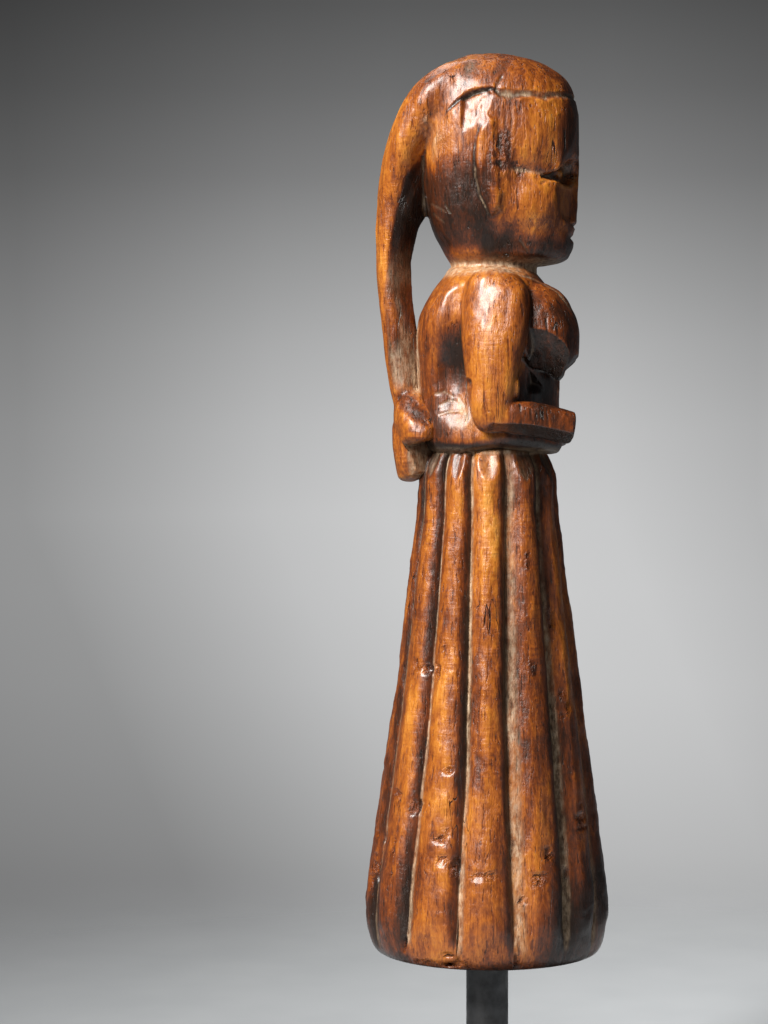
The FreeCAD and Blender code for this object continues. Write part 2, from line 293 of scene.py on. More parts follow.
# skirt: a rolled sheet whose columns follow the pleats
skirt = {
    "columnsPerPleat": 23,
    "rows": 288,
    "outline": [  # radius, up: bore, underside, foot edge, slope, waist
        (0, spigotLength / mm + 3), (3.08, spigotLength / mm + 3), (3.08, 0.5), (3.6, 0), (6, 0),
        (25.2, 0.03), (26.3, 0.6), (27.5, 2.4), (28.3, 5.6), (28.7, 9.5), (28.45, 14), (26.8, 25.7),
        (24.3, 42.9), (21.9, 60), (19.7, 77.1), (17.6, 94.3), (16.35, 105.7), (16.1, 111.5), (15.6, 115.0),
        (14.1, 118.2), (12.6, 119.4), (0, 119.6)],
    "rowShare": [  # of the rows, between those points
        0.02, 0.03, 0.005, 0.01, 0.04, 0.02, 0.02, 0.02, 0.025, 0.03, 0.07, 0.1, 0.1, 0.1, 0.1, 0.075, 0.065,
        0.045, 0.05, 0.02, 0.02],
    "crispRows": 5,          # of those, bore and underside, which stay crisp
    "grooveHeights": [0, 50, 115],
    "grooves": [  # degrees from the right hand to the front at those heights, and how wide its far wall is
        (-14.8, -12.8, -15.2, 0.25), (12.8, 12.3, 16.4, 1.0), (38.8, 44.2, 48.2, 0.45), (60.5, 71, 76, 0.5),
        (88, 96, 101, 0.2), (114, 120, 125, 0.6), (141, 145, 149, 0.3), (168, 171, 172, 0.8),
        (194, 196, 196, 0.2), (220, 221, 222, 0.5), (245, 246, 247, 0.7), (270, 268, 268, 0.3),
        (294, 293, 291, 0.4), (318.4, 319.2, 317.6, 0.3)],
    "shallow": {12: 0.45, 11: 0.4, 5: 0.8},  # grooves cut less deep than the others
    "grooveDepth": 2.5,
    "grooveWaver": 0.45,     # degrees
    "crowdToGroove": 0.62,   # how far the columns gather at the grooves
    "ribAcross": [  # share of the way from groove to groove, height over a steep wall
        (0, 0), (0.04, 0.10), (0.10, 0.42), (0.22, 0.80), (0.40, 0.97), (0.58, 1.0), (0.74, 0.92),
        (0.86, 0.70), (0.94, 0.36), (1, 0)],
    "wideRibAcross": [  # the same over a wide dusty wall
        (0, 0), (0.04, 0.06), (0.16, 0.22), (0.26, 0.40), (0.38, 0.86), (0.55, 1.0), (0.74, 0.94),
        (0.86, 0.72), (0.94, 0.38), (1, 0)],
    "ribEnd": [118.9, 13.2, 0.48, 1.5],  # the cut across the ribs' tops: up, radius there, slope, how pointed
    "unevenness": [((7, 7, 22), 3, 0.40), ((3.4, 3.4, 8), 4, 0.24), ((1.6, 1.6, 3.2), 6, 0.16),
                   ((0.9, 0.9, 1.6), 17, 0.08), ((3.0, 3.0, 1.0), 16, 0.07)],
    "dents": [  # degrees, up, half width, half height, depth, in millimetres
        (-50, 68.4, 2.3, 1.5, 0.9), (-33, 67.6, 1.7, 2.0, 0.9), (-30, 73.4, 1.1, 2.6, 0.8),
        (-49, 105.7, 0.8, 0.8, 0.5), (-23, 45.2, 1.6, 1.3, 1.0), (-56, 38.4, 1.3, 1.7, 0.9),
        (-43.5, 36.2, 2.2, 2.2, 1.0), (-23, 30.8, 1.5, 2.4, 0.9), (-22, 24.6, 1.8, 1.5, 1.0),
        (-3, 21.7, 2.6, 1.6, 0.7), (-73, 21.0, 2.6, 6.0, 1.6), (-64, 30.0, 1.2, 3.2, 0.9),
        (-52, 24.0, 0.8, 4.2, 0.8), (26, 20.6, 2.2, 1.8, 1.1), (30, 26.3, 1.0, 2.2, 0.9),
        (41.5, 21.8, 1.2, 2.0, 0.8), (17, 16.1, 1.3, 1.0, 0.7), (53, 60.2, 1.4, 3.4, 0.8),
        (-15.3, 1.9, 2.2, 2.6, 1.5), (-43, 5.6, 0.8, 1.9, 1.2), (-11.7, 1.2, 2.6, 1.6, 0.9),
        (14, 1.8, 0.9, 2.2, 0.9), (-32, 0.9, 4.5, 1.2, 0.6), (-16, 24.0, 0.9, 2.6, 0.9),
        (52, 80, 1.1, 4.0, 0.6), (58, 33, 2.2, 3.5, 0.9), (29, 93, 0.6, 2.4, 0.35),
        (29, 68.5, 0.6, 2.6, 0.35), (104, 40, 2.2, 3.0, 1.0), (132, 74, 1.6, 3.4, 0.8),
        (150, 12, 3.2, 3.0, 1.3), (186, 55, 1.8, 4.4, 0.8), (205, 22, 2.6, 2.0, 1.1),
        (233, 88, 1.2, 3.0, 0.7), (252, 31, 2.2, 4.4, 1.0), (262, 8, 2.6, 2.2, 1.2),
        (280, 62, 1.7, 3.4, 0.8), (96, 2, 3.4, 2.0, 1.0), (214, 1.5, 2.4, 2.4, 1.3)],
}


def makeSkirt():
    count = len(skirt["grooves"])
    columns = count * skirt["columnsPerPleat"]
    bpy.ops.object.select_all(action="DESELECT")
    bpy.ops.mesh.primitive_grid_add(x_subdivisions=columns, y_subdivisions=skirt["rows"], size=2)
    piece = bpy.context.object
    piece.name = piece.data.name = "doll_skirt"
    flat = readRows(piece.data.vertices, "co", 3)
    whole = (flat[:, 0] + 1) / 2 * count
    along = (flat[:, 1] + 1) / 2
    share = np.array(skirt["rowShare"])
    knots = np.concatenate([[0], np.cumsum(share / share.sum())])
    outline = np.array(skirt["outline"], float)
    soft = flowThrough(knots, outline, along)
    straight = np.column_stack([np.interp(along, knots, outline[:, axis]) for axis in (0, 1)])
    crisp = skirt["crispRows"]
    outer = step(along, knots[crisp], knots[crisp + 1])
    radius, up = (soft * outer[:, None] + straight * (1 - outer[:, None])).T

    # columns crowd towards the grooves, so that each groove stays crisp
    pleat = np.clip(np.floor(whole + 1e-6), 0, count - 1).astype(int)
    part = whole - pleat
    u = part - skirt["crowdToGroove"] * np.sin(2 * math.pi * part) / (2 * math.pi)
    rows = np.array(skirt["grooves"])
    height = np.where(outer > 0, np.clip(up, 0, skirt["grooveHeights"][-1]), 0)
    angle = np.zeros(len(u))
    for index in range(count):
        here, after = rows[index, :3], rows[(index + 1) % count, :3] + 360 * (index == count - 1)
        mine = pleat == index
        lines = []
        for offset, row in enumerate((here, after)):
            line = flowThrough(skirt["grooveHeights"], row[:, None], height[mine])[:, 0]
            ownPlace = np.full(mine.sum(), (index + offset) % count * 3.7)
            wavering = np.column_stack([ownPlace, np.zeros(mine.sum()), height[mine]])
            lines.append(line + lumps(wavering, (1, 1, 8), 5) * skirt["grooveWaver"])
        angle[mine] = np.radians(lines[0] + (lines[1] - lines[0]) * u[mine])

    # a rib rises over a dusty wall, rounds off and drops steeply into the next groove
    draw = np.random.default_rng(7)
    fullness = draw.uniform(0.86, 1.1, count)[pleat]
    tilt = draw.uniform(-0.5, 0.5, count)[pleat]
    wideWall = rows[pleat, 3]
    steepRise = np.interp(u, *zip(*skirt["ribAcross"]))
    slowRise = np.interp(u, *zip(*skirt["wideRibAcross"]))
    rib = steepRise * (1 - wideWall) + slowRise * wideWall
    around = np.column_stack([np.sin(angle) * 24, np.cos(angle) * 24, up])
    edge = np.ones(count + 1)  # how deep each groove is
    for number, share in skirt["shallow"].items():
        edge[number] = share
    edge[count] = edge[0]
    pastRib = step(u, 0.3, 0.6)
    grooveShare = edge[pleat] * (1 - pastRib) + edge[pleat + 1] * pastRib
    ownEnd = lumps(np.column_stack([pleat + (u > 0.5), up * 0, up * 0]), (1, 1, 1), 15)
    foot = np.clip(up - 3.2 - 1.6 * ownEnd, 0, None)  # height above each groove's own lower end
    depth = skirt["grooveDepth"] * fullness * (0.10 + 0.90 * step(foot, 0, 9))
    depth *= 1 - 0.12 * step(up, 90, 114)
    onSlope = outer * step(radius, 10, 14) * step(-up, -119.3, -117.5)
    uneven = unevenness(around, skirt["unevenness"])
    radius = radius + onSlope * (depth * 0.28 - (1 - rib) * depth * grooveShare
                                 + uneven * (0.4 + 0.6 * rib) * step(up, -1, 6))
    endUp, endRadius, slope, pointed = skirt["ribEnd"]
    fromRidge = 2 * u - 1
    limit = endRadius + (endUp - up) * slope + tilt * fromRidge + np.abs(fromRidge - tilt * 0.5) * pointed
    endCut = np.clip(radius - limit, 0, None) * onSlope
    radius = radius - endCut

    chips = np.zeros(len(u))
    ragged = lumps(around, (1.2, 1.2, 1.3), 11)
    for degrees, atUp, halfWide, halfHigh, deep in skirt["dents"]:
        turned = np.angle(np.exp(1j * (angle - math.radians(degrees)))) * radius
        inside = 1.0 - np.hypot(turned / halfWide, (up - atUp) / halfHigh)
        near = step(inside + 0.75 * ragged, 0, 0.5) * outer
        radius = radius - near * deep * (0.8 + 0.75 * ragged)
        chips = np.maximum(chips, near)
    points = np.column_stack([np.sin(angle) * radius, -np.cos(angle) * radius, up])
    writePoints(piece, points)

    wall = step(-u, -(0.10 + 0.17 * wideWall), -(0.02 + 0.11 * wideWall)) + step(u, 0.985, 1.0)
    patchy = 0.5 + 0.5 * lumps(around, (3, 3, 9), 12)
    inGroove = step(foot, 0, 3) * grooveShare
    patches = step(patchy, 0.2, 0.8)
    dust_and_sheen = (wall * (0.40 + 0.6 * patchy - 0.26 * wideWall) * inGroove
            + step(endCut, 0.05, 0.5) * 0.35 * patches + step(up, 117.6, 118.8) * 0.6)
    # painted shade: the steep right wall of each rib, turned from the light, and the foot of each narrow
    # groove are darkened; the skirt also darkens towards its foot
    shade_and_patina = step(u, 0.74, 0.97) * 0.6 * inGroove + step(-u, -0.16, -0.02) * 0.35 * inGroove * (1 - wideWall)
    shade_and_patina += step(endCut, 0.02, 0.3) * 0.35 + step(-up, -45, -4) * 0.14 + step(-up, -3.0, -0.5) * 0.25
    # painted shade: the front, turned away from the light, is darkened; the back is darker as well
    shade_and_patina += step(np.sin(angle), 0.12, 0.85) * (0.33 + 0.12 * step(-up, -60, -25))
    shade_and_patina += step(-np.sin(angle), 0.35, 0.95) * 0.3
    wear_and_light = step(rib, 0.72, 1.0) * (0.30 + 0.55 * patches) * (1 - chips) * step(up, 10, 70)
    keepMask(piece, "dust_and_sheen", outer * dust_and_sheen)
    # painted shade: the underside and the bore are painted fully dark
    keepMask(piece, "shade_and_patina", outer * shade_and_patina + (1 - outer))
    keepMask(piece, "wear_and_light", outer * wear_and_light)
    keepMask(piece, "chip", chips)
    turnOutwards(piece, mergeWithin=0.01 * mm)
    bpy.ops.object.shade_smooth()
    return piece


# torso and arms
body = {
    "torso": [  # up, back, front, half width, squareness
        (117.9, -9, 10, 9, 2.2), (118.6, -12.6, 14.4, 13.4, 2.3), (119.6, -14.6, 16.8, 15.6, 2.4),
        (121.6, -15.4, 17.8, 16.4, 2.5), (125, -15.7, 17.3, 15.8, 2.6), (130, -16.3, 16.9, 14.4, 2.6),
        (138, -16.8, 17.5, 14.8, 2.6), (145, -16.9, 17.9, 16.6, 2.6), (150.5, -16.2, 17.2, 17.6, 2.5),
        (154.6, -14.5, 15.6, 17.6, 2.4), (157.8, -12.5, 14.0, 16.4, 2.3), (160.2, -10.4, 12.2, 14.0, 2.2),
        (162.2, -8.8, 10.0, 9.6, 2.2), (163.0, -3, 4, 3, 2.1)],
    "breast": [  # forward, side, up, half depth, half side, squareness, running down and out
        (8.0, 7.6, 157.4, 2.0, 2.6, 2.0), (9.8, 8.0, 154.6, 5.8, 6.8, 2.0), (11.6, 8.3, 150.4, 8.3, 9.0, 2.1),
        (12.3, 8.4, 145.6, 9.2, 9.8, 2.3), (12.2, 8.4, 142.2, 9.2, 9.8, 2.5),
        (11.8, 8.4, 139.4, 7.8, 8.4, 2.5), (11.0, 8.4, 137.8, 3.5, 4.5, 2.3),
        (11.0, 8.4, 137.4, 0.3, 0.4, 2.0)],
    "upperArm": [
        (2.3, 13.6, 160.2, 1.5, 1.5, 2.1), (2.2, 14.4, 158.8, 5.4, 4.6, 2.2),
        (2.0, 15.6, 156.2, 7.2, 5.6, 2.4), (1.9, 16.6, 152.6, 7.8, 6.0, 2.6),
        (1.5, 17.9, 146, 7.6, 6.0, 2.6), (1.1, 18.9, 140, 6.7, 5.6, 2.5), (0.9, 19.4, 134, 5.7, 5.1, 2.4),
        (1.1, 19.4, 128.6, 5.1, 4.7, 2.4), (1.7, 19.2, 125.2, 4.3, 4.2, 2.4),
        (2.2, 19.1, 123.4, 2.4, 2.6, 2.2), (2.3, 19.1, 123.0, 0.3, 0.3, 2.0)],
    "forearm": [
        (-2.5, 19.0, 126.6, 2.0, 2.0, 2.4), (-0.5, 19.1, 126.6, 3.3, 3.7, 2.7),
        (4, 19.2, 126.5, 3.6, 4.2, 3.0), (9, 18.9, 126.2, 3.9, 4.2, 3.0), (14, 18.2, 125.4, 3.8, 3.9, 3.0),
        (17.6, 17.5, 124.7, 3.5, 3.7, 3.2), (19.2, 17.3, 124.5, 3.3, 3.5, 3.2),
        (19.9, 17.2, 124.4, 2.6, 2.8, 3.0), (20.1, 17.2, 124.4, 0.4, 0.4, 2.4)],
    "elbowStep": [(5.3, 18.4, 136.0, 0.4, 0.4, 3), (5.3, 18.4, 135.7, 1.8, 3.2, 3.8),
                  (5.5, 18.4, 133.6, 2.0, 3.4, 4), (5.2, 18.4, 131.2, 1.9, 3.4, 4),
                  (5.0, 18.4, 130.0, 0.4, 0.4, 3)],
    "grain": 0.345,
    "lowerEdge": [(-17, 0.8), (-12, -0.2), (-6.6, -0.6), (-1.7, 0.2), (3, 0.8), (8.6, 0.2),
                  (17, -0.9)],  # forward, rise
    "armTurn": 0.20,  # how far the upper arm's outer face looks backwards
    "backHollow": [(-8.4, 15.0, 137.0), (7.0, 7.0, 14.5), 2.7],  # place, reach, depth
    "chestHollow": [(8.2, 13.5, 149.0), (4.2, 6.0, 10.0), 2.2],
    "elbowNick": [(-5.0, 20.0, 134.3), (2.0, 5.0, 1.4), 0.9],
    "breastFlat": [(14.0, 17.2, 142.4), (-0.14, 0.83, -0.54), 15],  # place, which way it faces, reach
    "breastFront": [(21.3, 6.0, 140.7), (0.62, 0.1, -0.76), 9.0],
    "forearmFlat": [(11.0, 19.5, 121.9), (0, 0.62, -0.78), 12],
    "neckLine": [(4.5, 160.2), (11.0, 159.0), (16.0, 156.0), (19.6, 151.6)],
    "checks": [(4.6, 144, 138), (7.4, 129.2, 124), (9.7, 128.2, 125.7), (13.3, 149, 145.5),
               (15.9, 147.5, 144.8)],  # drying cracks in the arm, forearm and breast: forward, up from, up to
    "unevenness": [((3.4, 3.4, 6.5), 21, 0.15), ((1.5, 1.5, 3), 22, 0.07), ((0.9, 0.9, 2.4), 23, 0.03)],
    "arcs": [[(-12.1, 132.1), (-10.1, 132.6), (-8.0, 131.4)], [(-11.1, 129.5), (-8.7, 130.6), (-7.3, 130.4)],
             [(-11.1, 127.3), (-8.7, 128.0), (-5.9, 128.1)], [(-6.6, 131.4), (-5.2, 129.3), (-4.9, 125.9)]],
}


def makeBody():
    forms = [roundForm("torso", sections(body["torso"]), 96, 96, level=True)]
    for part in ("breast", "upperArm", "forearm", "elbowStep"):
        forms.append(roundForm(part + "Left", body[part], 56, 56))
        forms.append(roundForm(part + "Right", otherSide(body[part]), 56, 56))
    piece = weld("doll_body", forms, body["grain"])
    edges = readEdges(piece)
    points = relax(readPoints(piece), edges, 3)
    dust_and_sheen, checks = np.zeros(len(points)), np.zeros(len(points))

    # lower edge waves up and down, the back is hollowed behind each arm
    forward, rise = np.array(body["lowerEdge"]).T
    onTorso = 1 - step(np.abs(points[:, 1]), 16.8, 18.2) * step(points[:, 2], 121, 122.5)
    points[:, 2] += np.interp(points[:, 0], forward, rise) * step(-points[:, 2], -124.5, -120.5) * onTorso
    for hand in hands:
        outwards, up = points[:, 1] * hand, points[:, 2]
        onArm = step(outwards, 13.5, 17) * step(up, 129, 134) * step(-up, -159, -155)
        points[:, 1] += hand * onArm * body["armTurn"] * np.clip(points[:, 0] - 1.6, -8, 8)
        place, reach, depth = body["backHollow"]
        behindArm = 1 - step(points[:, 1] * hand, 17.2, 18.4)
        points[:, 1] -= hand * atPoint(points, onHand(place, hand), reach) * behindArm * depth
        place, reach, depth = body["chestHollow"]
        points[:, 1] -= hand * atPoint(points, onHand(place, hand), reach) * depth
        inFront = step(points[:, 0], 8.9, 9.9) * step(points[:, 2], 132, 134)
        points += (pareFlat(points, *body["breastFlat"], hand) - points) * inFront[:, None]
        points = pareFlat(points, *body["breastFront"], hand)
        place, reach, depth = body["elbowNick"]
        points[:, 0] += atPoint(points, onHand(place, hand), reach) * depth
        points = pareFlat(points, *body["forearmFlat"], hand)
    writePoints(piece, points)
    normals = readNormals(piece)
    for hand in hands:
        shoulder = step(atPoint(points, (2.0, hand * 14.5, 160.0), (10, 8, 6)), 0.0, 0.5)
        points += (relax(points, edges, 20, 0.8) - points) * shoulder[:, None]
        for arc in body["arcs"]:
            points, near = cutLine(points, normals, arc, 0.9, 0.16, hand)
            dust_and_sheen = np.maximum(dust_and_sheen, near * (points[:, 1] * hand < 17.2) * 0.45)
        # a thin line runs from the neck towards the breast
        points, near = cutLine(points, normals, body["neckLine"], 0.9, 0.25, hand)
        dust_and_sheen = np.maximum(dust_and_sheen, near * 0.5)
        for forward, top, bottom in body["checks"]:
            path = [(forward, top), (forward + 0.3, bottom)]
            points, near = cutLine(points, normals, path, 0.7, 0.15, hand)
            checks = np.maximum(checks, near * 0.5)
    points -= normals * unevenness(points, body["unevenness"])[:, None]
    writePoints(piece, points)

    # dust lies in the seams and the wood is paler where hands rub; painted shade darkens the recesses, the
    # faces turned down, the chest and forearms turned from the light and the lower rim; the hollows hold a
    # darker patina and the back is darker as well
    normals = readNormals(piece)
    cavity = hollowness(points, edges, normals)
    forward, side, up = points[:, 0], np.abs(points[:, 1]), points[:, 2]
    backSeam = step(-np.abs(forward + 16.6), -1.4, -0.2) * step(-side, -7.5, -5.2) * step(-up, -150, -147)
    neckRing = step(up, 159.0, 160.8) * step(-forward, -14, 0)
    lowBack = bothSides(points, (-6.0, 15, 128.5), (6.5, 6, 7.5))
    lowBack *= step(lumps(points, (1.5, 1.5, 2.5), 24) + lowBack, 0.0, 0.9)
    # painted shade in the recesses: behind each arm, beside and under each breast, and in the crease between
    # breast and arm
    recess = (bothSides(points, (-7.0, 13.0, 140), (6.5, 6.5, 11)) * 1.4
              + bothSides(points, (8.5, 12.5, 147), (5, 6, 12))
              + bothSides(points, (12, 12, 133.5), (12, 8, 6))
              + bothSides(points, (9.8, 17, 141.0), (1.8, 6, 6)) * 1.2)
    # painted shade on the faces that look down
    underneath = step(-normals[:, 2], 0.15, 0.7)
    # painted shade on the forearms and chest, turned away from the light, and on the torso's lower rim; the
    # back is darker as well
    forearm = step(forward, 3, 6) * step(side, 13, 15) * step(-up, -132, -130)
    chest = step(forward, 7, 14) * step(-up, -160, -152)
    back = step(-forward, 6.5, 9.5) * step(-up, -161, -156)
    rim = step(-up, -121.2, -119.6)
    handled = bothSides(points, (1.5, 24, 145), (9, 6, 24))
    keepMask(piece, "dust_and_sheen", dust_and_sheen + backSeam * 0.8 + neckRing * 0.75 + lowBack * 0.5
             + step(cavity, 0.10, 0.4) * 0.3 + step(-up, -120.0, -118.8) * 0.3)
    keepMask(piece, "shade_and_patina", step(cavity, 0.02, 0.28) * 0.45 + recess * 0.7 + checks * 0.8 + underneath * 0.5
             + chest * 0.33 + forearm * 0.35 + back * 0.26 + rim * 0.6)
    keepMask(piece, "wear_and_light", step(-cavity, 0.03, 0.22) * 0.8 + handled * 0.5)
    keepMask(piece, "chip", lowBack * 0.5)
    return piece


# head, hair tail and knot
head = {
    "skull": [  # up, back, front, half width, squareness
        (161.4, -3, 4, 3.5, 2.2), (162.6, -8.4, 10.6, 8.6, 2.3), (163.2, -8.7, 14.6, 9.8, 2.5),
        (163.8, -9.0, 17.6, 11.2, 2.7), (164.6, -9.5, 19.1, 12.2, 2.8), (166.2, -10.4, 19.8, 13.0, 2.8),
        (168.6, -11.7, 20.2, 13.9, 2.8),
        (170.6, -12.8, 20.2, 14.5, 2.8), (172.2, -13.4, 20.8, 15.0, 2.8), (175.5, -14.2, 21.5, 15.8, 2.8),
        (181, -14.8, 21.9, 16.5, 2.8), (188, -15.0, 22.0, 17.0, 2.75), (195, -14.9, 21.9, 17.0, 2.7),
        (200, -14.6, 21.1, 16.6, 2.6), (203.5, -14.2, 20.2, 15.9, 2.5), (206.7, -13.2, 18.3, 14.4, 2.4),
        (209.3, -11.4, 14.7, 12.2, 2.3), (211.3, -8.4, 10.1, 9.0, 2.2), (212.6, -4.8, 4.6, 4.8, 2.1),
        (213.0, 0.4, 0.8, 0.2, 2.0)],
    "neck": [(153.0, -3, 3, 3, 2.2), (154.5, -9.6, 11.0, 10.4, 2.2), (158.5, -9.4, 11.2, 10.4, 2.2),
             (160.9, -9.2, 11.8, 10.4, 2.2), (162.6, -8.6, 11.6, 9.8, 2.2), (164.2, -8.2, 11.0, 9.0, 2.2),
             (168, -3, 4, 3, 2.2)],
    "tail": [  # forward, side, up, half thickness, half width, squareness
        (5.0, 0, 202.0, 1.0, 3.0, 2.0), (1.0, 0, 204.2, 6.0, 11.4, 2.1), (-4.5, 0, 204.1, 6.6, 13.2, 2.2),
        (-9.6, 0, 201.8, 7.0, 13.6, 2.2), (-13.1, 0, 198.1, 7.0, 12.9, 2.1),
        (-15.8, 0, 194.1, 6.6, 11.8, 1.95), (-18.0, 0, 189.2, 6.1, 10.2, 1.8),
        (-19.2, 0, 183, 6.3, 8.4, 1.7), (-19.9, 0, 178, 6.2, 7.2, 1.65), (-21.1, 0, 173.6, 5.2, 6.2, 1.6),
        (-21.8, 0, 169.5, 4.7, 5.7, 1.6), (-22.3, 0, 163.4, 4.1, 5.2, 1.6),
        (-22.0, 0, 156.6, 4.0, 4.9, 1.65), (-21.1, 0, 149.6, 4.0, 5.0, 1.8), (-20.2, 0, 143, 4.2, 5.1, 1.9),
        (-19.2, 0, 136, 4.1, 5.4, 2.0), (-18.3, 0, 130, 3.8, 5.7, 2.2), (-18.0, 0, 125, 3.3, 5.6, 2.2),
        (-17.6, 0, 122, 0.5, 0.8, 2.0)],
    "bun": [(-18.0, 0, 134.0, 0.6, 0.8, 2), (-18.0, 0, 132.8, 3.6, 6.2, 2.2),
            (-17.6, 0, 129.4, 4.8, 9.4, 2.4), (-16.4, 0, 125.6, 5.9, 11.6, 2.5),
            (-14.8, 0, 122.6, 6.0, 12.6, 2.4), (-13.2, 0, 120.9, 4.0, 11.0, 2.2),
            (-12.8, 0, 120.1, 0.4, 0.6, 2)],
    "drop": [(-17.0, 0, 126.6, 0.5, 0.6, 2.4), (-17.7, 0, 124.8, 4.9, 6.4, 2.6),
             (-17.5, 0, 121, 5.2, 7.6, 2.8), (-17.6, 0, 116.4, 4.5, 7.4, 2.8),
             (-17.7, 0, 113.4, 3.8, 6.4, 2.6), (-17.5, 0, 112.2, 2.4, 4.2, 2.3),
             (-17.4, 0, 111.8, 0.3, 0.5, 2)],
    "grain": 0.385,
    "hairline": [  # forward, up, half width, depth
        (-9.8, 197.0, 0.5, 0.1), (-8, 199.0, 0.6, 0.4), (-6.5, 200, 0.6, 0.55), (-3.6, 201.4, 0.6, 0.6),
        (-1, 202.4, 0.6, 0.55), (1.2, 202.6, 0.6, 0.35), (2.6, 201.4, 1.0, 0.45), (4.2, 201.0, 1.25, 0.55),
        (6, 200.8, 1.2, 0.55), (8.2, 201.3, 0.95, 0.55), (10.8, 201.4, 1.0, 0.5), (13.4, 200.8, 1.0, 0.5),
        (16.3, 201.3, 0.9, 0.45), (22, 202.0, 0.9, 0.45)],
    "ear": [(-0.9, 196.4), (-2.4, 190.7), (-2.6, 185.5), (-1.7, 178.2), (0.9, 173.6), (2.8, 175.5),
            (3.0, 180.0), (2.0, 185.0), (1.6, 190.5), (1.8, 195.0)],
    "earKnob": [(0.4, 180.4), (2.3, 179.2), (3.9, 178.6), (3.0, 174.5), (1.0, 173.6)],
    "earGroove": [(-1.4, 194.5), (-2.7, 191), (-3.1, 187), (-2.8, 182), (-1.9, 177.8), (0.4, 173.4)],
    "leaf": [(-22.0, 131.8), (-19.4, 133.2), (-17.0, 132.0), (-14.8, 128.4), (-14.2, 125.3), (-17.2, 126.6),
             (-20.3, 128.5)],
    "jawHollow": [(0.9, 169.7), (6.0, 170.4), (9.0, 167.5), (6.0, 165.6), (0.9, 166.0)],
    "skullEdge": [(-15.2, 188), (-15.4, 182.6), (-15.1, 176), (-14.0, 172.4), (-9.6, 164.6)],
    "cheekSlope": [(163, 0.22), (168, 0.36), (180, 0.44), (186, 0.36), (193, 0.16), (200, 0.08)],  # up, slope
    "faceAt": [(163, 19.6), (172, 21.0), (186, 21.7), (200, 21.4)],  # up, forward
    "noseHalf": [(173, 4.4), (176, 4.0), (184, 2.4), (188, 2.2)],
    "lips": [(164, 0), (165.6, -0.1), (167.2, 0.1), (168.4, 0.05), (169.3, -0.8), (170.2, 0.0), (171.4, 0.1),
             (172.1, -0.6), (172.9, 0)],  # up, how far they stand out
    "eyeHalf": [(3.0, 0), (3.8, 1.9), (5, 2.9), (8, 2.8), (11, 2.1), (13.5, 1.3), (15.2, 0.7), (16.4, 0)],
    "eyeLine": [(3, 184.3), (8, 184.0), (12, 183.1), (15, 182.4)],  # side, up
    "crease": [(4, 184.0), (8, 183.8), (12, 183.2), (16, 182.4)],  # forward, up, where brow and cheek meet
    "scratches": [  # width, depth, points
        (1.1, 0.45, [(3.1, 205.2), (2.3, 203.4), (2.1, 202.1)]),
        (0.9, 0.35, [(12.5, 180.6), (14.5, 181.8), (16.0, 182.9)]),
        (0.9, 0.35, [(7.7, 167.3), (9.1, 165.4)]), (0.7, 0.3, [(-9.8, 175.9), (-8.7, 174.1)]),
        (0.7, 0.2, [(-13.1, 176.7), (-9.8, 174.5)]), (0.7, 0.2, [(-12.6, 174.4), (-10.3, 172.3)]),
        (0.7, 0.25, [(10.9, 204.6), (10.4, 202.6)]), (0.7, 0.15, [(5.6, 197.5), (5.3, 186.6)])],
    "templeFlat": [(-2.0, 16.3, 196.4), (-0.34, 0.90, 0.24), 6.4],  # place, which way it faces, reach
    "lobeBevel": [(-16.4, 6.2, 117.5), (0.62, 0.76, 0.1), 7.5],
    "tailMiddle": [(112, -20), (133, -22), (142, -23.4), (155, -24.5), (161, -23.8), (168, -23.0),
                   (174, -21.8), (179.6, -20.2), (183.3, -19.2), (189.3, -15.0), (200, -10)],  # up, forward
    "flatUnevenness": [((1.1, 1.1, 1.6), 41, 0.11), ((0.6, 0.6, 0.9), 42, 0.05)],
    "unevenness": [((3.6, 3.6, 7.0), 36, 0.15), ((1.5, 1.5, 2.6), 37, 0.08), ((0.9, 0.9, 2.4), 38, 0.035)],
}


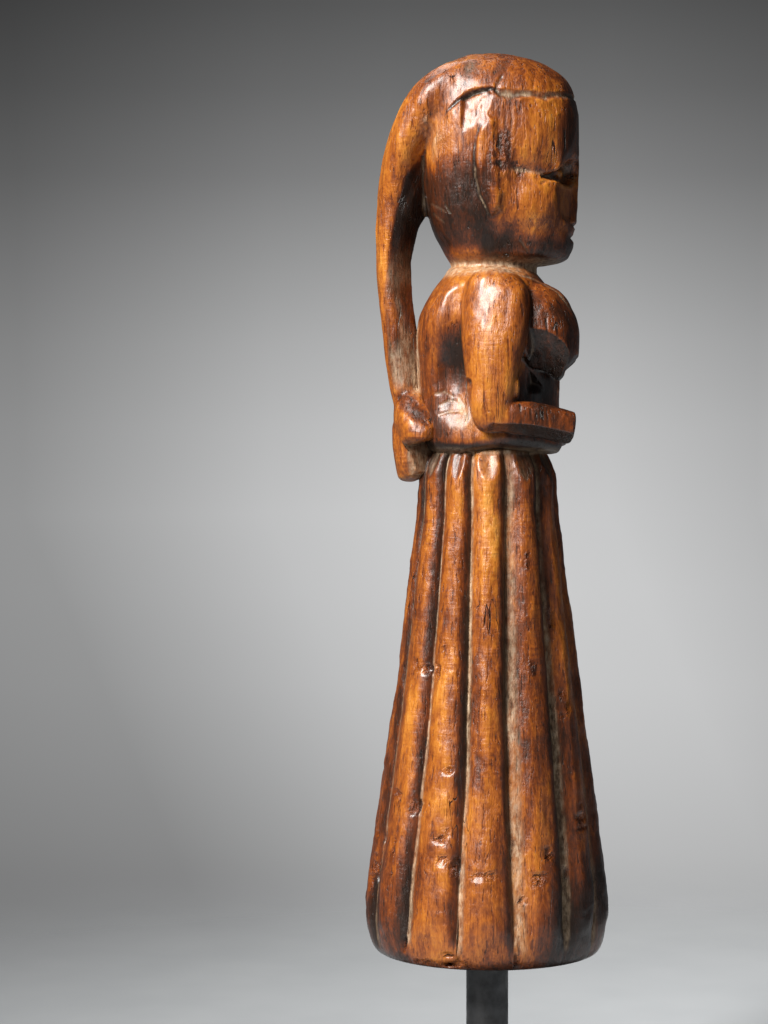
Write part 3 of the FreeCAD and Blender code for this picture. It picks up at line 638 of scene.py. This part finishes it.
def makeHead():
    forms = [roundForm("skull", sections(head["skull"]), 112, 112, level=True),
             roundForm("neck", sections(head["neck"]), 64, 48, level=True),
             roundForm("tail", head["tail"], 64, 160, lean=0.28), roundForm("bun", head["bun"], 56, 56),
             roundForm("drop", head["drop"], 56, 56)]
    piece = weld("doll_head", forms, head["grain"])
    edges = readEdges(piece)
    points = relax(readPoints(piece), edges, 3)
    dust_and_sheen, shade_and_patina, wear_and_light, chip = (np.zeros(len(points)) for _ in range(4))
    onSkull = step(points[:, 0], -16.2, -14.0)
    swept = bothSides(points, (-10, 12, 200), (13, 12, 14))  # where the hair runs into the tail
    swept = np.maximum(swept, atPoint(points, (-7, 0, 208), (16, 18, 10)))
    for _ in range(2):
        points += (relax(points, edges, 24, 0.9) - points) * step(swept, 0.05, 0.45)[:, None]

    # face: cheeks pared back from a flat nose ridge, which ends above the lips
    side = np.abs(points[:, 1])
    faceUp = step(points[:, 2], 163, 167)
    slope, front, noseHalf = (np.interp(points[:, 2], *zip(*head[name]))
                              for name in ("cheekSlope", "faceAt", "noseHalf"))
    besideNose = step(side - noseHalf, -0.4, 1.2) * step(-np.abs(points[:, 2] - 180.2), -8.4, -6.4)
    limit = front - np.clip(side - 3.0, 0, None) * slope - besideNose * 0.75
    points[:, 0] -= np.clip(points[:, 0] - limit, 0, None) * faceUp
    corner = step(points[:, 0], 12, 15) * step(side, 9.5, 12) * faceUp
    points += (relax(points, edges, 14, 0.8) - points) * corner[:, None]
    lips = np.interp(points[:, 2], *zip(*head["lips"]))
    points[:, 0] += lips * step(points[:, 0], 12, 18) * step(-side, -8.5, -4.0)
    for hand in hands:
        # eye: an almond cut with a lidded ball in it
        half, middleUp = (np.interp(side, *zip(*head[name])) for name in ("eyeHalf", "eyeLine"))
        inside = half - np.abs(points[:, 2] - middleUp)
        inside[(points[:, 1] * hand < 0) | (points[:, 0] < 12.4)] = -1
        opening = step(inside, -0.1, 0.55)
        ball = atPoint(points, (19.0, hand * 8.6, 183.7), (6, 4.4, 2.4))
        points[:, 0] -= opening * (2.5 - 1.3 * ball)
        points[:, 1] -= hand * opening * (1.0 - 0.4 * ball)
        # painted shade darkens the eye's hollow, least over the ball
        shade_and_patina = np.maximum(shade_and_patina, opening * (0.34 - 0.2 * ball))
        points += (relax(points, edges, 3) - points) * step(inside, -1.0, 0.0)[:, None]
        # painted highlight: the eye's lower rim is painted pale in the dust colour
        lowerRim = step(inside, -0.5, -0.3) * step(-inside, 0.0, 0.2) * step(-points[:, 2], -184.2, -183.0)
        dust_and_sheen = np.maximum(dust_and_sheen, lowerRim * step(-side, -8.5, -5.0) * 0.7)
        away = points[:, 2] - np.interp(points[:, 0], *zip(*head["crease"]))
        strip = step(points[:, 0], 4.0, 7.0) * step(-points[:, 0], -17.5, -15.2) * (points[:, 1] * hand > 0)
        points[:, 1] -= hand * strip * (1.15 * np.exp(-(away / 3.4) ** 2) + 0.35 * np.exp(-(away / 0.6) ** 2))
        shade_and_patina = np.maximum(shade_and_patina, strip * np.exp(-((away - 0.9) / 1.1) ** 2) * 0.4)
        dust_and_sheen = np.maximum(dust_and_sheen, strip * np.exp(-((away + 0.2) / 0.4) ** 2) * 0.4)
        points[:, 1] += hand * 0.9 * atPoint(points, (11.5, hand * 16, 174.5), (8, 8, 8))  # cheek
        points[:, 1] += hand * 0.6 * atPoint(points, (11.0, hand * 16, 192), (9, 8, 9))  # brow
    writePoints(piece, points)
    normals = readNormals(piece)

    for hand in hands:
        points = setPatch(points, normals, head["ear"], 0.8, 1.9, hand)[0]
        ragged = lumps(points, (1.5, 1.5, 2.2), 31) + 0.6 * lumps(points, (0.8, 0.8, 1.0), 32)
        pitted = np.maximum(atPoint(points, (3.4, hand * 17, 187.0), (5.2, 9, 10.5)),
                            atPoint(points, (7.0, hand * 17, 183.5), (3.6, 9, 4.5)))
        points -= normals * (pitted * (ragged * 0.26 + 0.10))[:, None]
        shade_and_patina = np.maximum(shade_and_patina, step(pitted, 0.05, 0.7) * step(ragged, -0.7, 0.6) * 0.5)
        chip = np.maximum(chip, pitted * 0.7)
        points, knob = setPatch(points, normals, head["earKnob"], 0.6, 2.0, hand)
        wear_and_light = np.maximum(wear_and_light, knob * 0.6)
        points, near = cutLine(points, normals, head["earGroove"], 1.0, 0.22, hand)
        shade_and_patina = np.maximum(shade_and_patina, near * 0.5)
        lowerPart = step(-points[:, 2], -187, -184)
        dust_and_sheen = np.maximum(dust_and_sheen, step(near, 0.5, 1) * 0.45 * step(ragged, -0.2, 0.5) * lowerPart)
        # painted shade darkens the hollow under the cheek
        points, near = setPatch(points, normals, head["jawHollow"], -0.7, 6.0, hand)
        shade_and_patina = np.maximum(shade_and_patina, near * 0.3)
        for width, depth, path in head["scratches"]:
            points, near = cutLine(points, normals, path, width, depth, hand)
            dust_and_sheen = np.maximum(dust_and_sheen, near * 0.1)
        # the back of the skull stands as an edge against the tail
        points, near = cutLine(points, normals, head["skullEdge"], 0.9, 0.3, hand)
        dust_and_sheen = np.maximum(dust_and_sheen, near * 0.5)
        # a knife-flat place below the hairline
        flat = pareFlat(points, *head["templeFlat"], hand)
        cut = step(np.linalg.norm(flat - points, axis=1), 0.02, 0.2)
        flat = flat - normals * (unevenness(points, head["flatUnevenness"]) * cut)[:, None]
        points = points + (flat - points) * step(points[:, 0], -6.4, -5.6)[:, None]
    forward, *columns = np.array(head["hairline"]).T
    lineUp, lineHalf, lineDepth = (np.interp(points[:, 0], forward, column) for column in columns)
    lineUp = lineUp + lumps(points, (2.2, 2.2, 2.2), 33) * 0.3
    near = np.clip(1 - np.abs(points[:, 2] - lineUp) / lineHalf, 0, 1) ** 0.7
    near *= step(points[:, 0], -10.5, -8.5)
    points -= normals * (near * lineDepth)[:, None]
    shade_and_patina = np.maximum(shade_and_patina, near * (0.35 + 0.55 * step(-points[:, 0], -3.2, -1.5)))
    patchy = 0.35 + 0.4 * lumps(points, (1.2, 1.2, 0.8), 34)
    dust_and_sheen = np.maximum(dust_and_sheen, near * patchy * step(points[:, 0], 1.5, 3.2))

    # hair streaks run over the crown and down the tail
    strand = np.where(points[:, 0] < -14, points[:, 1], points[:, 1] * 0.8)
    alongTail = points[:, 2] - points[:, 0] * 0.9
    streaks = lumps(np.column_stack([strand, alongTail, points[:, 0] * 0.25]), (1.1, 13, 3), 35)
    hair = (1 - onSkull * step(-points[:, 2], -199, -193)) * step(points[:, 2], 126, 134)
    hair = np.maximum(hair, atPoint(points, (-13, -14, 193), (6, 9, 9)))
    rough = bothSides(points, (-12.5, 13, 193), (5.5, 9, 8.5))
    fineStreaks = lumps(np.column_stack([strand, alongTail, points[:, 0] * 0.25]), (0.7, 3.2, 3), 39)
    points -= normals * (hair * step(-points[:, 0], 4, 10) * (streaks * 0.22)
                         + step(rough, 0.05, 0.6) * fineStreaks * 0.26)[:, None]
    points -= normals * unevenness(points, head["unevenness"])[:, None]

    # leaf-like facet on the bun, bevel on the hanging lobe
    for hand in hands:
        points, near = setPatch(points, normals, head["leaf"], -0.5, 2.4, hand)
        shade_and_patina = np.maximum(shade_and_patina, near * 0.5)
        points = pareFlat(points, *head["lobeBevel"], hand)
    writePoints(piece, points)

    cavity = hollowness(points, edges, readNormals(piece))
    forward, side, up = points[:, 0], np.abs(points[:, 1]), points[:, 2]
    inner = (1 - onSkull) * step(forward - np.interp(up, *zip(*head["tailMiddle"])), -0.7, 0.7)
    inner *= step(-up, -191, -184) * step(up, 132, 136)  # the tail's side towards the nape
    crown = step(up, 204, 208.5) * step(-forward, -6, 2) * step(lumps(points, (4, 4, 4), 40), -0.4, 0.5)
    neckRing = step(up, 158.5, 160.2) * step(-up, -164.4, -162.8) * step(forward, -14, -11)
    backSeam = step(-np.abs(forward + 16.8), -1.3, -0.4) * step(-up, -150, -147) * step(side, 2.5, 4.5)
    backSeam *= step(up, 131, 134)
    lobe = step(-up, -121.5, -119.5) * step(forward + (side - 6) * 0.5, -18.6, -17.4)
    behindEar = step(-up, -190, -181) * step(up, 163, 168) * step(-forward, -3.5, 1.0) * onSkull
    # painted shade under the jaw and on the front of the face, turned from the light
    jaw = step(-up, -170.5, -166.5) * step(up, 160.5, 163.5) * step(forward, -6, 2)
    faceFront = step(forward + side * 0.3, 19.5, 22.5) * step(up, 160, 166)
    cheeks = bothSides(points, (11.5, 16, 174.5), (7, 8, 7))
    # the pale marks on the rough hair streaks are partly dust and partly painted highlight standing in for
    # glints
    keepMask(piece, "dust_and_sheen", dust_and_sheen + neckRing * 0.85 + backSeam * 0.9 + crown * 0.15 + lobe * 0.55
             + rough * (0.15 + 0.55 * step(-fineStreaks, 0.0, 0.5)) + step(cavity, 0.15, 0.5) * 0.25
             + inner * 0.4 * step(streaks, -0.2, 0.5) * step(-up, -168, -160))
    # painted shade: the tail's inner side towards the nape is darkened, more so higher up
    keepMask(piece, "shade_and_patina", shade_and_patina + inner * (0.35 + 0.4 * step(up, 150, 172)) + behindEar * 0.72 + jaw * 0.5
             + crown * 0.5 + faceFront * 0.5 + step(cavity, 0.03, 0.3) * 0.35 + lobe * 0.3)
    # painted light: the hair's outer faces, turned to the light, are made paler than its inner side
    keepMask(piece, "wear_and_light", wear_and_light + step(-cavity, 0.03, 0.2) * 0.7 + (1 - inner) * (1 - onSkull) * 0.4
             + cheeks * 0.4)
    keepMask(piece, "chip", np.maximum(chip, rough * step(streaks, -0.2, 0.4)))
    return piece


carvedPieces = []
for label, make in (("skirt", makeSkirt), ("torso and arms", makeBody), ("head and hair tail", makeHead)):
    piece = make()
    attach(piece, "figure")
    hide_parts("carved_figure")
    carvedPieces.append(piece)
    print(label, "carved:", len(piece.data.polygons), "faces")


# materials
def feed(tree, sockets, values):  # a value is another node's output, or a number or colour
    for name, value in values.items():
        if isinstance(value, bpy.types.NodeSocket):
            tree.links.new(value, sockets[name])
        else:
            sockets[name].default_value = value


def addNode(tree, kind, values=None, **settings):
    made = tree.nodes.new("ShaderNode" + kind)
    for name, value in settings.items():
        setattr(made, name, value)
    feed(tree, made.inputs, values or {})
    return made


def calc(tree, operation, first, second=0.0, clamp=False):
    return addNode(tree, "Math", {0: first, 1: second}, operation=operation, use_clamp=clamp).outputs[0]


def blend(tree, share, first, second, how="MIX"):
    made = addNode(tree, "Mix", data_type="RGBA", blend_type=how, clamp_factor=True)
    feed(tree, made.inputs, {0: share, 6: first, 7: second})  # its factor and its two colours
    return made.outputs[2]


def spread(tree, value, low, high, toLow=0.0, toHigh=1.0, smooth=True):
    limits = {"Value": value, "From Min": low, "From Max": high, "To Min": toLow, "To Max": toHigh}
    kind = "SMOOTHSTEP" if smooth else "LINEAR"
    return addNode(tree, "MapRange", limits, interpolation_type=kind).outputs[0]


def addUp(tree, total, parts):  # each part is a value and how much of it is added
    for value, amount in parts:
        total = calc(tree, "ADD", total, calc(tree, "MULTIPLY", value, amount))
    return total


def noise(tree, where, scale, stretch=(1, 1, 1), detail=3.0, roughness=0.55, warp=0.0, offset=(0, 0, 0)):
    placed = addNode(tree, "Mapping", {"Vector": where, "Location": offset, "Scale": stretch}).outputs[0]
    return addNode(tree, "TexNoise", {"Vector": placed, "Scale": scale, "Detail": detail,
                                      "Roughness": roughness, "Distortion": warp}).outputs[0]


def ramp(tree, value, stops):
    made = addNode(tree, "ValToRGB", {"Fac": value})
    line = made.color_ramp.elements
    while len(line) < len(stops):
        line.new(0.5)
    for element, (at, colour) in zip(line, stops):
        element.position, element.color = at, colour + (1,)
    return made.outputs[0]


def newGroup(name, takes, gives):
    tree = bpy.data.node_groups.new(name, "ShaderNodeTree")
    for label, kind in takes:
        tree.interface.new_socket(label, in_out="INPUT", socket_type="NodeSocket" + kind)
    for label, kind in gives:
        tree.interface.new_socket(label, in_out="OUTPUT", socket_type="NodeSocket" + kind)
    return tree, tree.nodes.new("NodeGroupInput").outputs, tree.nodes.new("NodeGroupOutput").inputs


def useGroup(tree, group, values):
    return addNode(tree, "Group", values, node_tree=group).outputs


def newMaterial(name, surface):
    material = bpy.data.materials.new(name)
    material.use_nodes = True
    tree = material.node_tree
    shader = tree.nodes["Principled BSDF"]
    for socket, value in surface.items():
        shader.inputs[socket].default_value = value
    where = addNode(tree, "TexCoord").outputs["Object"]
    return material, tree, shader, where


# upright fibres, dark pores, the little ripples left by the knife, and drying checks
tree, takes, gives = newGroup("woodFibre", [("Vector", "Vector")], [
    ("Fibre", "Float"), ("Fine", "Float"), ("Pores", "Float"), ("Ripple", "Float"), ("Checks", "Float")])
fibreGroup, where = tree, takes["Vector"]
poreNoise = noise(tree, where, 1700, (1, 1, 0.13), 2, 0.5, 0.3, (3, 1, 2))
checkNoise = noise(tree, where, 380, (1, 1, 0.09), 1.5, 0.4, 0.6, (7, 2, 4))
checkLine = calc(tree, "ABSOLUTE", calc(tree, "SUBTRACT", checkNoise, 0.5))
checkPlace = spread(tree, noise(tree, where, 90, (1, 1, 0.6), 2, 0.5, 0, (2, 2, 9)), 0.56, 0.64)
feed(tree, gives, {
    "Fibre": noise(tree, where, 620, (1, 1, 0.07), 4, 0.6, 0.5),
    "Fine": noise(tree, where, 2400, (1, 1, 0.06), 3, 0.6),
    "Pores": spread(tree, poreNoise, 0.60, 0.70),
    "Ripple": noise(tree, where, 1150, (0.16, 0.16, 1), 2, 0.5, 0.6, (1, 5, 2)),
    "Checks": calc(tree, "MULTIPLY", spread(tree, checkLine, 0.0, 0.011, 1.0, 0.0), checkPlace)})

# colour worked up by handling: pale where rubbed, deep where it was never touched; the same masks also carry
# painted shade, painted light and painted highlight
wood = {
    "colours": [(0.02, (0.014, 0.006, 0.003)), (0.20, (0.048, 0.013, 0.0045)), (0.38, (0.135, 0.031, 0.006)),
                (0.55, (0.28, 0.078, 0.010)), (0.74, (0.43, 0.150, 0.019)), (0.95, (0.56, 0.25, 0.050))],
    "dustAndSheenColours": [(0.3, (0.20, 0.115, 0.060)), (0.50, (0.40, 0.265, 0.155)), (0.70, (0.60, 0.46, 0.32))],
    "middleTone": 0.52,
    "roughness": (0.44, 0.30),
    "polish": (0.22, 0.52),       # least and most coat
    "dustRoughness": 0.42,
    "gloss": {"Coat Roughness": 0.22, "Coat IOR": 1.5, "IOR": 1.38},
    "bump": {"Strength": 0.85, "Distance": 0.00045},
}
tree, takes, gives = newGroup(
    "patinaAndPaintedLight",
    [("Vector", "Vector"), ("Wear_and_light", "Float"), ("Shade_and_patina", "Float"), ("Dust_and_sheen", "Float"), ("Chip", "Float")],
    [("Color", "Color"), ("Roughness", "Float"), ("Coat", "Float"), ("Height", "Float")])
patinaAndLightGroup, where = tree, takes["Vector"]
fibre = useGroup(tree, fibreGroup, {"Vector": where})
broad = noise(tree, where, 62, (1, 1, 0.55), 3, 0.55, 0.6, (0.4, 0.1, 0.7))
mottle = noise(tree, where, 330, (1, 1, 0.45), 5, 0.68, 0.8)
speck = noise(tree, where, 1500, (1, 1, 0.6), 3, 0.6)
swings = ((broad, 0.95), (mottle, 0.72), (fibre["Fibre"], 0.42), (fibre["Fine"], 0.30), (speck, 0.34))
tone = addUp(tree, wood["middleTone"],
             [(calc(tree, "SUBTRACT", value, 0.5), amount) for value, amount in swings])
ripples = calc(tree, "MULTIPLY", spread(tree, fibre["Ripple"], 0.54, 0.66), takes["Wear_and_light"])
# this darkness carries painted shade as well as patina
darkness = calc(tree, "MULTIPLY", takes["Shade_and_patina"], spread(tree, mottle, 0.25, 0.6, 0.42, 0.62))
tone = addUp(tree, tone, [(takes["Wear_and_light"], 0.20), (darkness, -1.0), (fibre["Pores"], -0.16), (ripples, -0.10),
                          (fibre["Checks"], -0.5)])
dustNoise = noise(tree, where, 900, (1, 1, 0.45), 4, 0.7, 0, (5, 5, 1))
dustAndSheen = calc(tree, "MULTIPLY", takes["Dust_and_sheen"], spread(tree, dustNoise, 0.30, 0.60, 0.35, 1.0), True)
dustAndSheenColour = ramp(tree, dustNoise, wood["dustAndSheenColours"])
rough = addUp(tree, spread(tree, mottle, 0.3, 0.7, *wood["roughness"]), [(takes["Chip"], -0.08)])
rough = calc(tree, "ADD", rough, calc(tree, "MULTIPLY", dustAndSheen, wood["dustRoughness"]), True)
polish = spread(tree, broad, 0.3, 0.7, *wood["polish"])
rippled = calc(tree, "ADD", calc(tree, "MULTIPLY", takes["Wear_and_light"], 0.35), 0.12)
height = addUp(tree, calc(tree, "MULTIPLY", fibre["Fine"], 0.20), [
    (fibre["Fibre"], 0.55), (mottle, 0.8), (speck, 0.22), (fibre["Pores"], -0.25), (fibre["Checks"], -1.1),
    (fibre["Ripple"], rippled), (calc(tree, "MULTIPLY", speck, takes["Chip"]), 2.2)])
feed(tree, gives, {
    "Color": blend(tree, dustAndSheen, ramp(tree, tone, wood["colours"]), dustAndSheenColour),
    "Roughness": rough,
    "Coat": calc(tree, "MULTIPLY", polish, calc(tree, "SUBTRACT", 1.0, dustAndSheen, True)),
    "Height": height})

agedWood, tree, shader, where = newMaterial("agedWood", wood["gloss"])
masks = {name.capitalize(): addNode(tree, "Attribute", attribute_name=name,
                                    attribute_type="GEOMETRY").outputs["Fac"]
         for name in ("dust_and_sheen", "shade_and_patina", "wear_and_light", "chip")}
patinaAndLight = useGroup(tree, patinaAndLightGroup, {"Vector": where, **masks})
grainBump = addNode(tree, "Bump", {"Height": patinaAndLight["Height"], **wood["bump"]})
feed(tree, shader.inputs, {"Base Color": patinaAndLight["Color"], "Roughness": patinaAndLight["Roughness"],
                           "Coat Weight": patinaAndLight["Coat"], "Normal": grainBump.outputs[0]})
for piece in carvedPieces:
    piece.data.materials.clear()
    piece.data.materials.append(agedWood)

# blackened steel of the post and plate, zinc-plated screw, leather washer, felt
scuffGroup, takes, gives = newGroup("scuffs", [("Vector", "Vector"), ("Size", "Float")],
                                    [("Tone", "Float"), ("Height", "Float")])
sized = addNode(scuffGroup, "VectorMath", {0: takes["Vector"], "Scale": takes["Size"]}, operation="SCALE")
feed(scuffGroup, gives, {"Tone": noise(scuffGroup, sized.outputs[0], 0.16, detail=5, roughness=0.7),
                         "Height": noise(scuffGroup, sized.outputs[0], 1.0, detail=3, roughness=0.6)})

plain = {  # surface values, darkest and lightest colour, roughness range, size of the scuffs per metre, bump
    "blackSteel": ({"Metallic": 0.0, "IOR": 1.6, "Coat Weight": 0.1, "Coat Roughness": 0.3},
                   (0.006, 0.006, 0.007), (0.030, 0.031, 0.033), (0.40, 0.58), 1900, 0.00006),
    "zincSteel": ({"Metallic": 1.0}, (0.30, 0.30, 0.31), (0.56, 0.55, 0.53), (0.26, 0.42), 1500, 0.00002),
    "leather": ({"IOR": 1.45}, (0.045, 0.018, 0.008), (0.16, 0.075, 0.034), (0.55, 0.75), 2600, 0.00010),
    "felt": ({"IOR": 1.3}, (0.010, 0.011, 0.012), (0.034, 0.036, 0.038), (0.88, 0.98), 4200, 0.00022),
}


def plainMaterial(name):
    surface, dark, light, roughness, size, bump = plain[name]
    material, tree, shader, where = newMaterial(name, surface)
    scuff = useGroup(tree, scuffGroup, {"Vector": where, "Size": size})
    relief = addNode(tree, "Bump", {"Strength": 0.6, "Distance": bump, "Height": scuff["Height"]})
    feed(tree, shader.inputs, {
        "Base Color": ramp(tree, scuff["Tone"], [(0.3, dark), (0.7, light)]),
        "Roughness": spread(tree, scuff["Tone"], 0.35, 0.65, roughness[1], roughness[0]),
        "Normal": relief.outputs[0]})
    return material


for node, name in (("post", "blackSteel"), ("base_plate", "blackSteel"), ("base_screw", "zincSteel"),
                   ("seat_washer", "leather"), ("felt_sheet", "felt")):
    material = bpy.data.materials.get(name) or plainMaterial(name)
    carried = bpy.data.objects[node]
    carried.data.materials.clear()
    carried.data.materials.append(material)
print("materials made")


# floor, light and camera
studio = {
    "floorRadius": 0.62,
    "floorColours": [(0.3, (0.50, 0.53, 0.56)), (0.7, (0.53, 0.56, 0.59))],
    "floorSolid": 0.17,     # the floor thins out between these distances
    "floorGone": 0.50,
    "eyeHeight": 112.0,     # of the camera above the skirt's foot, in millimetres
    "eyeDistance": 0.576,
    "lens": 85.0,
    "aimBehind": 0.02465,   # the camera looks this far behind the doll and this far below its own height
    "aimDrop": 0.0076,
    "backdropUp": [  # slope of the view, brightness
        (-0.30, 0.60), (-0.19, 0.66), (-0.150, 0.80), (-0.115, 0.90), (-0.084, 0.97), (-0.045, 1.0),
        (-0.014, 0.99), (0.021, 0.90), (0.056, 0.75), (0.091, 0.56), (0.125, 0.37), (0.159, 0.25),
        (0.193, 0.165), (0.35, 0.10)],
    "backdropAside": [  # slope sideways from its bright middle, brightness
        (0.0, 0.78), (0.06, 0.97), (0.105, 1.0), (0.15, 1.0), (0.20, 0.88), (0.25, 0.68), (0.30, 0.50),
        (0.40, 0.42)],
    "backdropLight": 0.60,
    "roomColours": [  # the room's own light on the doll, from below to above
        (0.0, (0.17, 0.178, 0.19)), (0.45, (0.10, 0.104, 0.11)), (0.56, (0.035, 0.035, 0.036)),
        (1.0, (0.02, 0.02, 0.02))],
    "lamps": [  # name, degrees from the camera towards the doll's back, degrees up, metres off, size, watts
        ("keyLamp", 42, 36, 1.15, (0.40, 0.54), 36, (1.0, 0.97, 0.93)),
        ("fillLamp", -62, -4, 1.3, (0.7, 0.7), 0.5, (0.86, 0.93, 1.0)),
        ("topLamp", 150, 55, 1.3, (0.5, 0.5), 3, (1.0, 0.98, 0.95))],
    "lampsAimAt": 120.0,    # above the skirt's foot, in millimetres
}

bpy.ops.object.select_all(action="DESELECT")
bpy.ops.mesh.primitive_circle_add(vertices=128, radius=studio["floorRadius"], fill_type="NGON",
                                  location=(0, 0, -0.2 * mm))
floor = bpy.context.object
floor.name = "floor"
floorMaterial, tree, shader, where = newMaterial("floorPaper", {"Roughness": 0.62, "IOR": 1.35})
fromMiddle = addNode(tree, "VectorMath", {0: where}, operation="LENGTH").outputs["Value"]
paper = ramp(tree, noise(tree, where, 30, detail=2), studio["floorColours"])
# painted shade: the floor's colour darkens towards the doll's back
paintedFloorShade = spread(tree, addNode(tree, "SeparateXYZ", {"Vector": where}).outputs["Y"], -0.12, 0.22, 1.0, 0.42)
grey = addNode(tree, "CombineColor", {0: paintedFloorShade, 1: paintedFloorShade, 2: paintedFloorShade}).outputs[0]
feed(tree, shader.inputs, {
    "Base Color": blend(tree, 1.0, paper, grey, "MULTIPLY"),
    "Alpha": spread(tree, fromMiddle, studio["floorSolid"], studio["floorGone"], 1.0, 0.0)})
floor.data.materials.append(floorMaterial)


def aimAt(thing, target):
    thing.rotation_euler = (Vector(target) - Vector(thing.location)).to_track_quat("-Z", "Y").to_euler()


target = (0, 0, dollFoot + studio["lampsAimAt"] * mm)
for name, angle, rise, distance, size, watts, colour in studio["lamps"]:
    lampData = bpy.data.lights.new(name, "AREA")
    lampData.shape, lampData.energy, lampData.color = "RECTANGLE", watts, colour
    lampData.size, lampData.size_y = size
    lamp = bpy.data.objects.new(name, lampData)
    bpy.context.scene.collection.objects.link(lamp)
    level = distance * math.cos(math.radians(rise))
    lamp.location = (-level * math.cos(math.radians(angle)), level * math.sin(math.radians(angle)),
                     target[2] + distance * math.sin(math.radians(rise)))
    aimAt(lamp, target)
    lamp.visible_camera = False

cameraData = bpy.data.cameras.new("camera")
camera = bpy.data.objects.new("camera", cameraData)
bpy.context.scene.collection.objects.link(camera)
cameraData.lens, cameraData.sensor_width = studio["lens"], 36
camera.location = (-studio["eyeDistance"], 0, dollFoot + studio["eyeHeight"] * mm)
aimAt(camera, (0, studio["aimBehind"], camera.location.z - studio["aimDrop"]))
cameraData.clip_start, cameraData.clip_end = 0.01, 20
bpy.context.scene.camera = camera

world = bpy.data.worlds.new("studio")
bpy.context.scene.world = world
world.use_nodes = True
tree = world.node_tree
direction = addNode(tree, "TexCoord").outputs["Generated"]
parts = addNode(tree, "SeparateXYZ", {"Vector": direction}).outputs


def curveRamp(tree, value, stops):  # stops given in the value's own measure
    low, high = stops[0][0], stops[-1][0]
    return ramp(tree, spread(tree, value, low, high, smooth=False),
                [((at - low) / (high - low), (light, light, light)) for at, light in stops])


upShade = curveRamp(tree, parts["Z"], studio["backdropUp"])
lowShift = calc(tree, "MULTIPLY", calc(tree, "MINIMUM", calc(tree, "ADD", parts["Z"], 0.014), 0.0), -0.45)
fromBright = calc(tree, "ADD", calc(tree, "ADD", parts["Y"], 0.11), lowShift)
asideShade = curveRamp(tree, calc(tree, "ABSOLUTE", fromBright), studio["backdropAside"])
seen = blend(tree, 1.0, upShade, asideShade, "MULTIPLY")
light = studio["backdropLight"]
seen = blend(tree, 1.0, seen, (light, light * 1.005, light * 1.01, 1), "MULTIPLY")
around = ramp(tree, spread(tree, parts["Z"], -1, 1, smooth=False), studio["roomColours"])
backdrop = tree.nodes["Background"]
isSeen = addNode(tree, "LightPath").outputs["Is Camera Ray"]
tree.links.new(blend(tree, isSeen, around, seen), backdrop.inputs["Color"])
bpy.context.scene.view_settings.view_transform = "Standard"
bpy.context.scene.view_settings.look = "None"
print("studio set")
